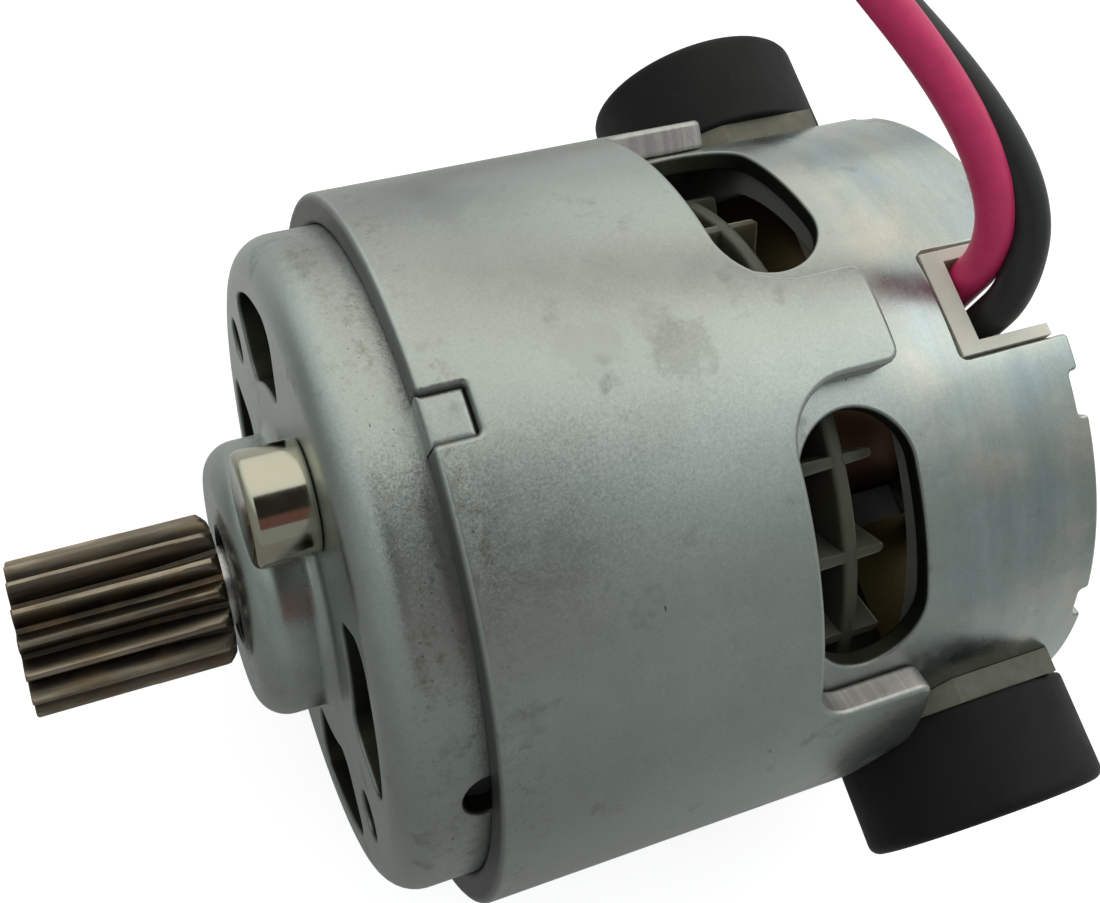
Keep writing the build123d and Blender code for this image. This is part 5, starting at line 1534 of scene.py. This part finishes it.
def build_stage():
    """Floor, camera, lamp, world and screen."""
    scene = bpy.context.scene
    scene.view_settings.view_transform = "Standard"

    grid = np.array([[(-1, -1), (1, -1)], [(-1, 1), (1, 1)]]) * FLOOR_REACH
    points = np.concatenate((grid, np.full((2, 2, 1), FLOOR_LEVEL - FLOOR_GAP)), axis=-1)
    floor = surface("floor", points, np.broadcast_to((0.0, 0.0, 1.0), (2, 2, 3)))
    add_finish(floor, floor_paper())

    camera = bpy.data.cameras.new("camera")
    camera.sensor_width = CAMERA_SENSOR
    camera.lens = CAMERA_LENS
    camera.shift_x, camera.shift_y = CAMERA_SHIFT
    camera.clip_start, camera.clip_end = CAMERA_NEAR, CAMERA_FAR
    scene.camera = aimed("camera", camera, CAMERA_RIGHT, -np.array(CAMERA_DOWN),
                         -np.array(CAMERA_FORWARD), CAMERA_PLACE)

    studio_world()
    build_screen()
    lamp = bpy.data.lights.new("key_lamp", "AREA")
    lamp.shape = "RECTANGLE"
    lamp.size, lamp.size_y = LAMP_SIZE
    lamp.energy = LAMP_POWER
    lamp.color = LAMP_TINT
    back = unit_rows(np.array(LAMP_PLACE))
    right = unit_rows(np.cross((0.0, 1.0, 0.0), back))
    aimed("key_lamp", lamp, right, np.cross(back, right), back, LAMP_PLACE)


# ---------------------------------------------------------------- operators and panel


class MOTOR_OT_stage(bpy.types.Operator):
    """Add the floor, camera, lamp and world"""

    bl_idname = "motor.stage"
    bl_label = "Stage"

    def execute(self, context):
        build_stage()
        return {"FINISHED"}


class MOTOR_OT_leads(bpy.types.Operator):
    """Add the two leads and finish their sleeves and connectors"""

    bl_idname = "motor.leads"
    bl_label = "Leads"

    def execute(self, context):
        build_leads()
        return {"FINISHED"}


class MOTOR_OT_can(bpy.types.Operator):
    """Add the drawn can with its vents, notches and lugs"""

    bl_idname = "motor.can"
    bl_label = "Can"

    def execute(self, context):
        build_can()
        return {"FINISHED"}


class MOTOR_OT_flux_ring(bpy.types.Operator):
    """Add the rolled flux ring"""

    bl_idname = "motor.flux_ring"
    bl_label = "Flux ring"

    def execute(self, context):
        build_flux_ring()
        return {"FINISHED"}


class MOTOR_OT_pinion(bpy.types.Operator):
    """Add the pinion"""

    bl_idname = "motor.pinion"
    bl_label = "Pinion"

    def execute(self, context):
        build_pinion()
        return {"FINISHED"}


class MOTOR_OT_locating_pin(bpy.types.Operator):
    """Add the locating pin"""

    bl_idname = "motor.locating_pin"
    bl_label = "Locating pin"

    def execute(self, context):
        build_locating_pin()
        return {"FINISHED"}


class MOTOR_OT_dampers(bpy.types.Operator):
    """Add the two dampers and finish their seats"""

    bl_idname = "motor.dampers"
    bl_label = "Dampers"

    def execute(self, context):
        build_dampers()
        return {"FINISHED"}


class MOTOR_OT_armature(bpy.types.Operator):
    """Add the winding turns and finish the core"""

    bl_idname = "motor.armature"
    bl_label = "Armature"

    def execute(self, context):
        build_armature()
        return {"FINISHED"}


class MOTOR_OT_fan(bpy.types.Operator):
    """Add the fan's disc and blades"""

    bl_idname = "motor.fan"
    bl_label = "Cooling fan"

    def execute(self, context):
        build_fan()
        return {"FINISHED"}


class MOTOR_OT_springs(bpy.types.Operator):
    """Add the two brush springs"""

    bl_idname = "motor.springs"
    bl_label = "Brush springs"

    def execute(self, context):
        build_springs()
        return {"FINISHED"}


class MOTOR_OT_inner_nodes(bpy.types.Operator):
    """Finish the frame nodes that keep their own shape"""

    bl_idname = "motor.inner_nodes"
    bl_label = "Inner parts"

    def execute(self, context):
        dress_inner_nodes()
        return {"FINISHED"}


OPERATORS = (MOTOR_OT_stage, MOTOR_OT_leads, MOTOR_OT_can, MOTOR_OT_flux_ring, MOTOR_OT_pinion,
             MOTOR_OT_locating_pin, MOTOR_OT_dampers, MOTOR_OT_armature, MOTOR_OT_fan,
             MOTOR_OT_springs, MOTOR_OT_inner_nodes)


class MOTOR_PT_looks(bpy.types.Panel):
    """Sizes, colours and pieces of the motor"""

    bl_idname = "MOTOR_PT_looks"
    bl_label = "Motor"
    bl_space_type = "VIEW_3D"
    bl_region_type = "UI"
    bl_category = "Motor"

    def draw(self, context):
        for group in (context.scene.motor_sizes, context.scene.motor_colours):
            box = self.layout.box()
            for key in group.__annotations__:
                box.prop(group, key)
        for operator in OPERATORS:
            self.layout.operator(operator.bl_idname)


CLASSES = (MotorSizes, MotorColours, *OPERATORS, MOTOR_PT_looks)


def register():
    for item in CLASSES:
        bpy.utils.register_class(item)
    bpy.types.Scene.motor_sizes = PointerProperty(type=MotorSizes)
    bpy.types.Scene.motor_colours = PointerProperty(type=MotorColours)


def unregister():
    del bpy.types.Scene.motor_colours
    del bpy.types.Scene.motor_sizes
    for item in reversed(CLASSES):
        bpy.utils.unregister_class(item)


def main():
    """Registers the add-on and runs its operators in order."""
    register()
    for operator in OPERATORS:
        group, name = operator.bl_idname.split(".")
        getattr(getattr(bpy.ops, group), name)()


if __name__ == "__main__":
    main()
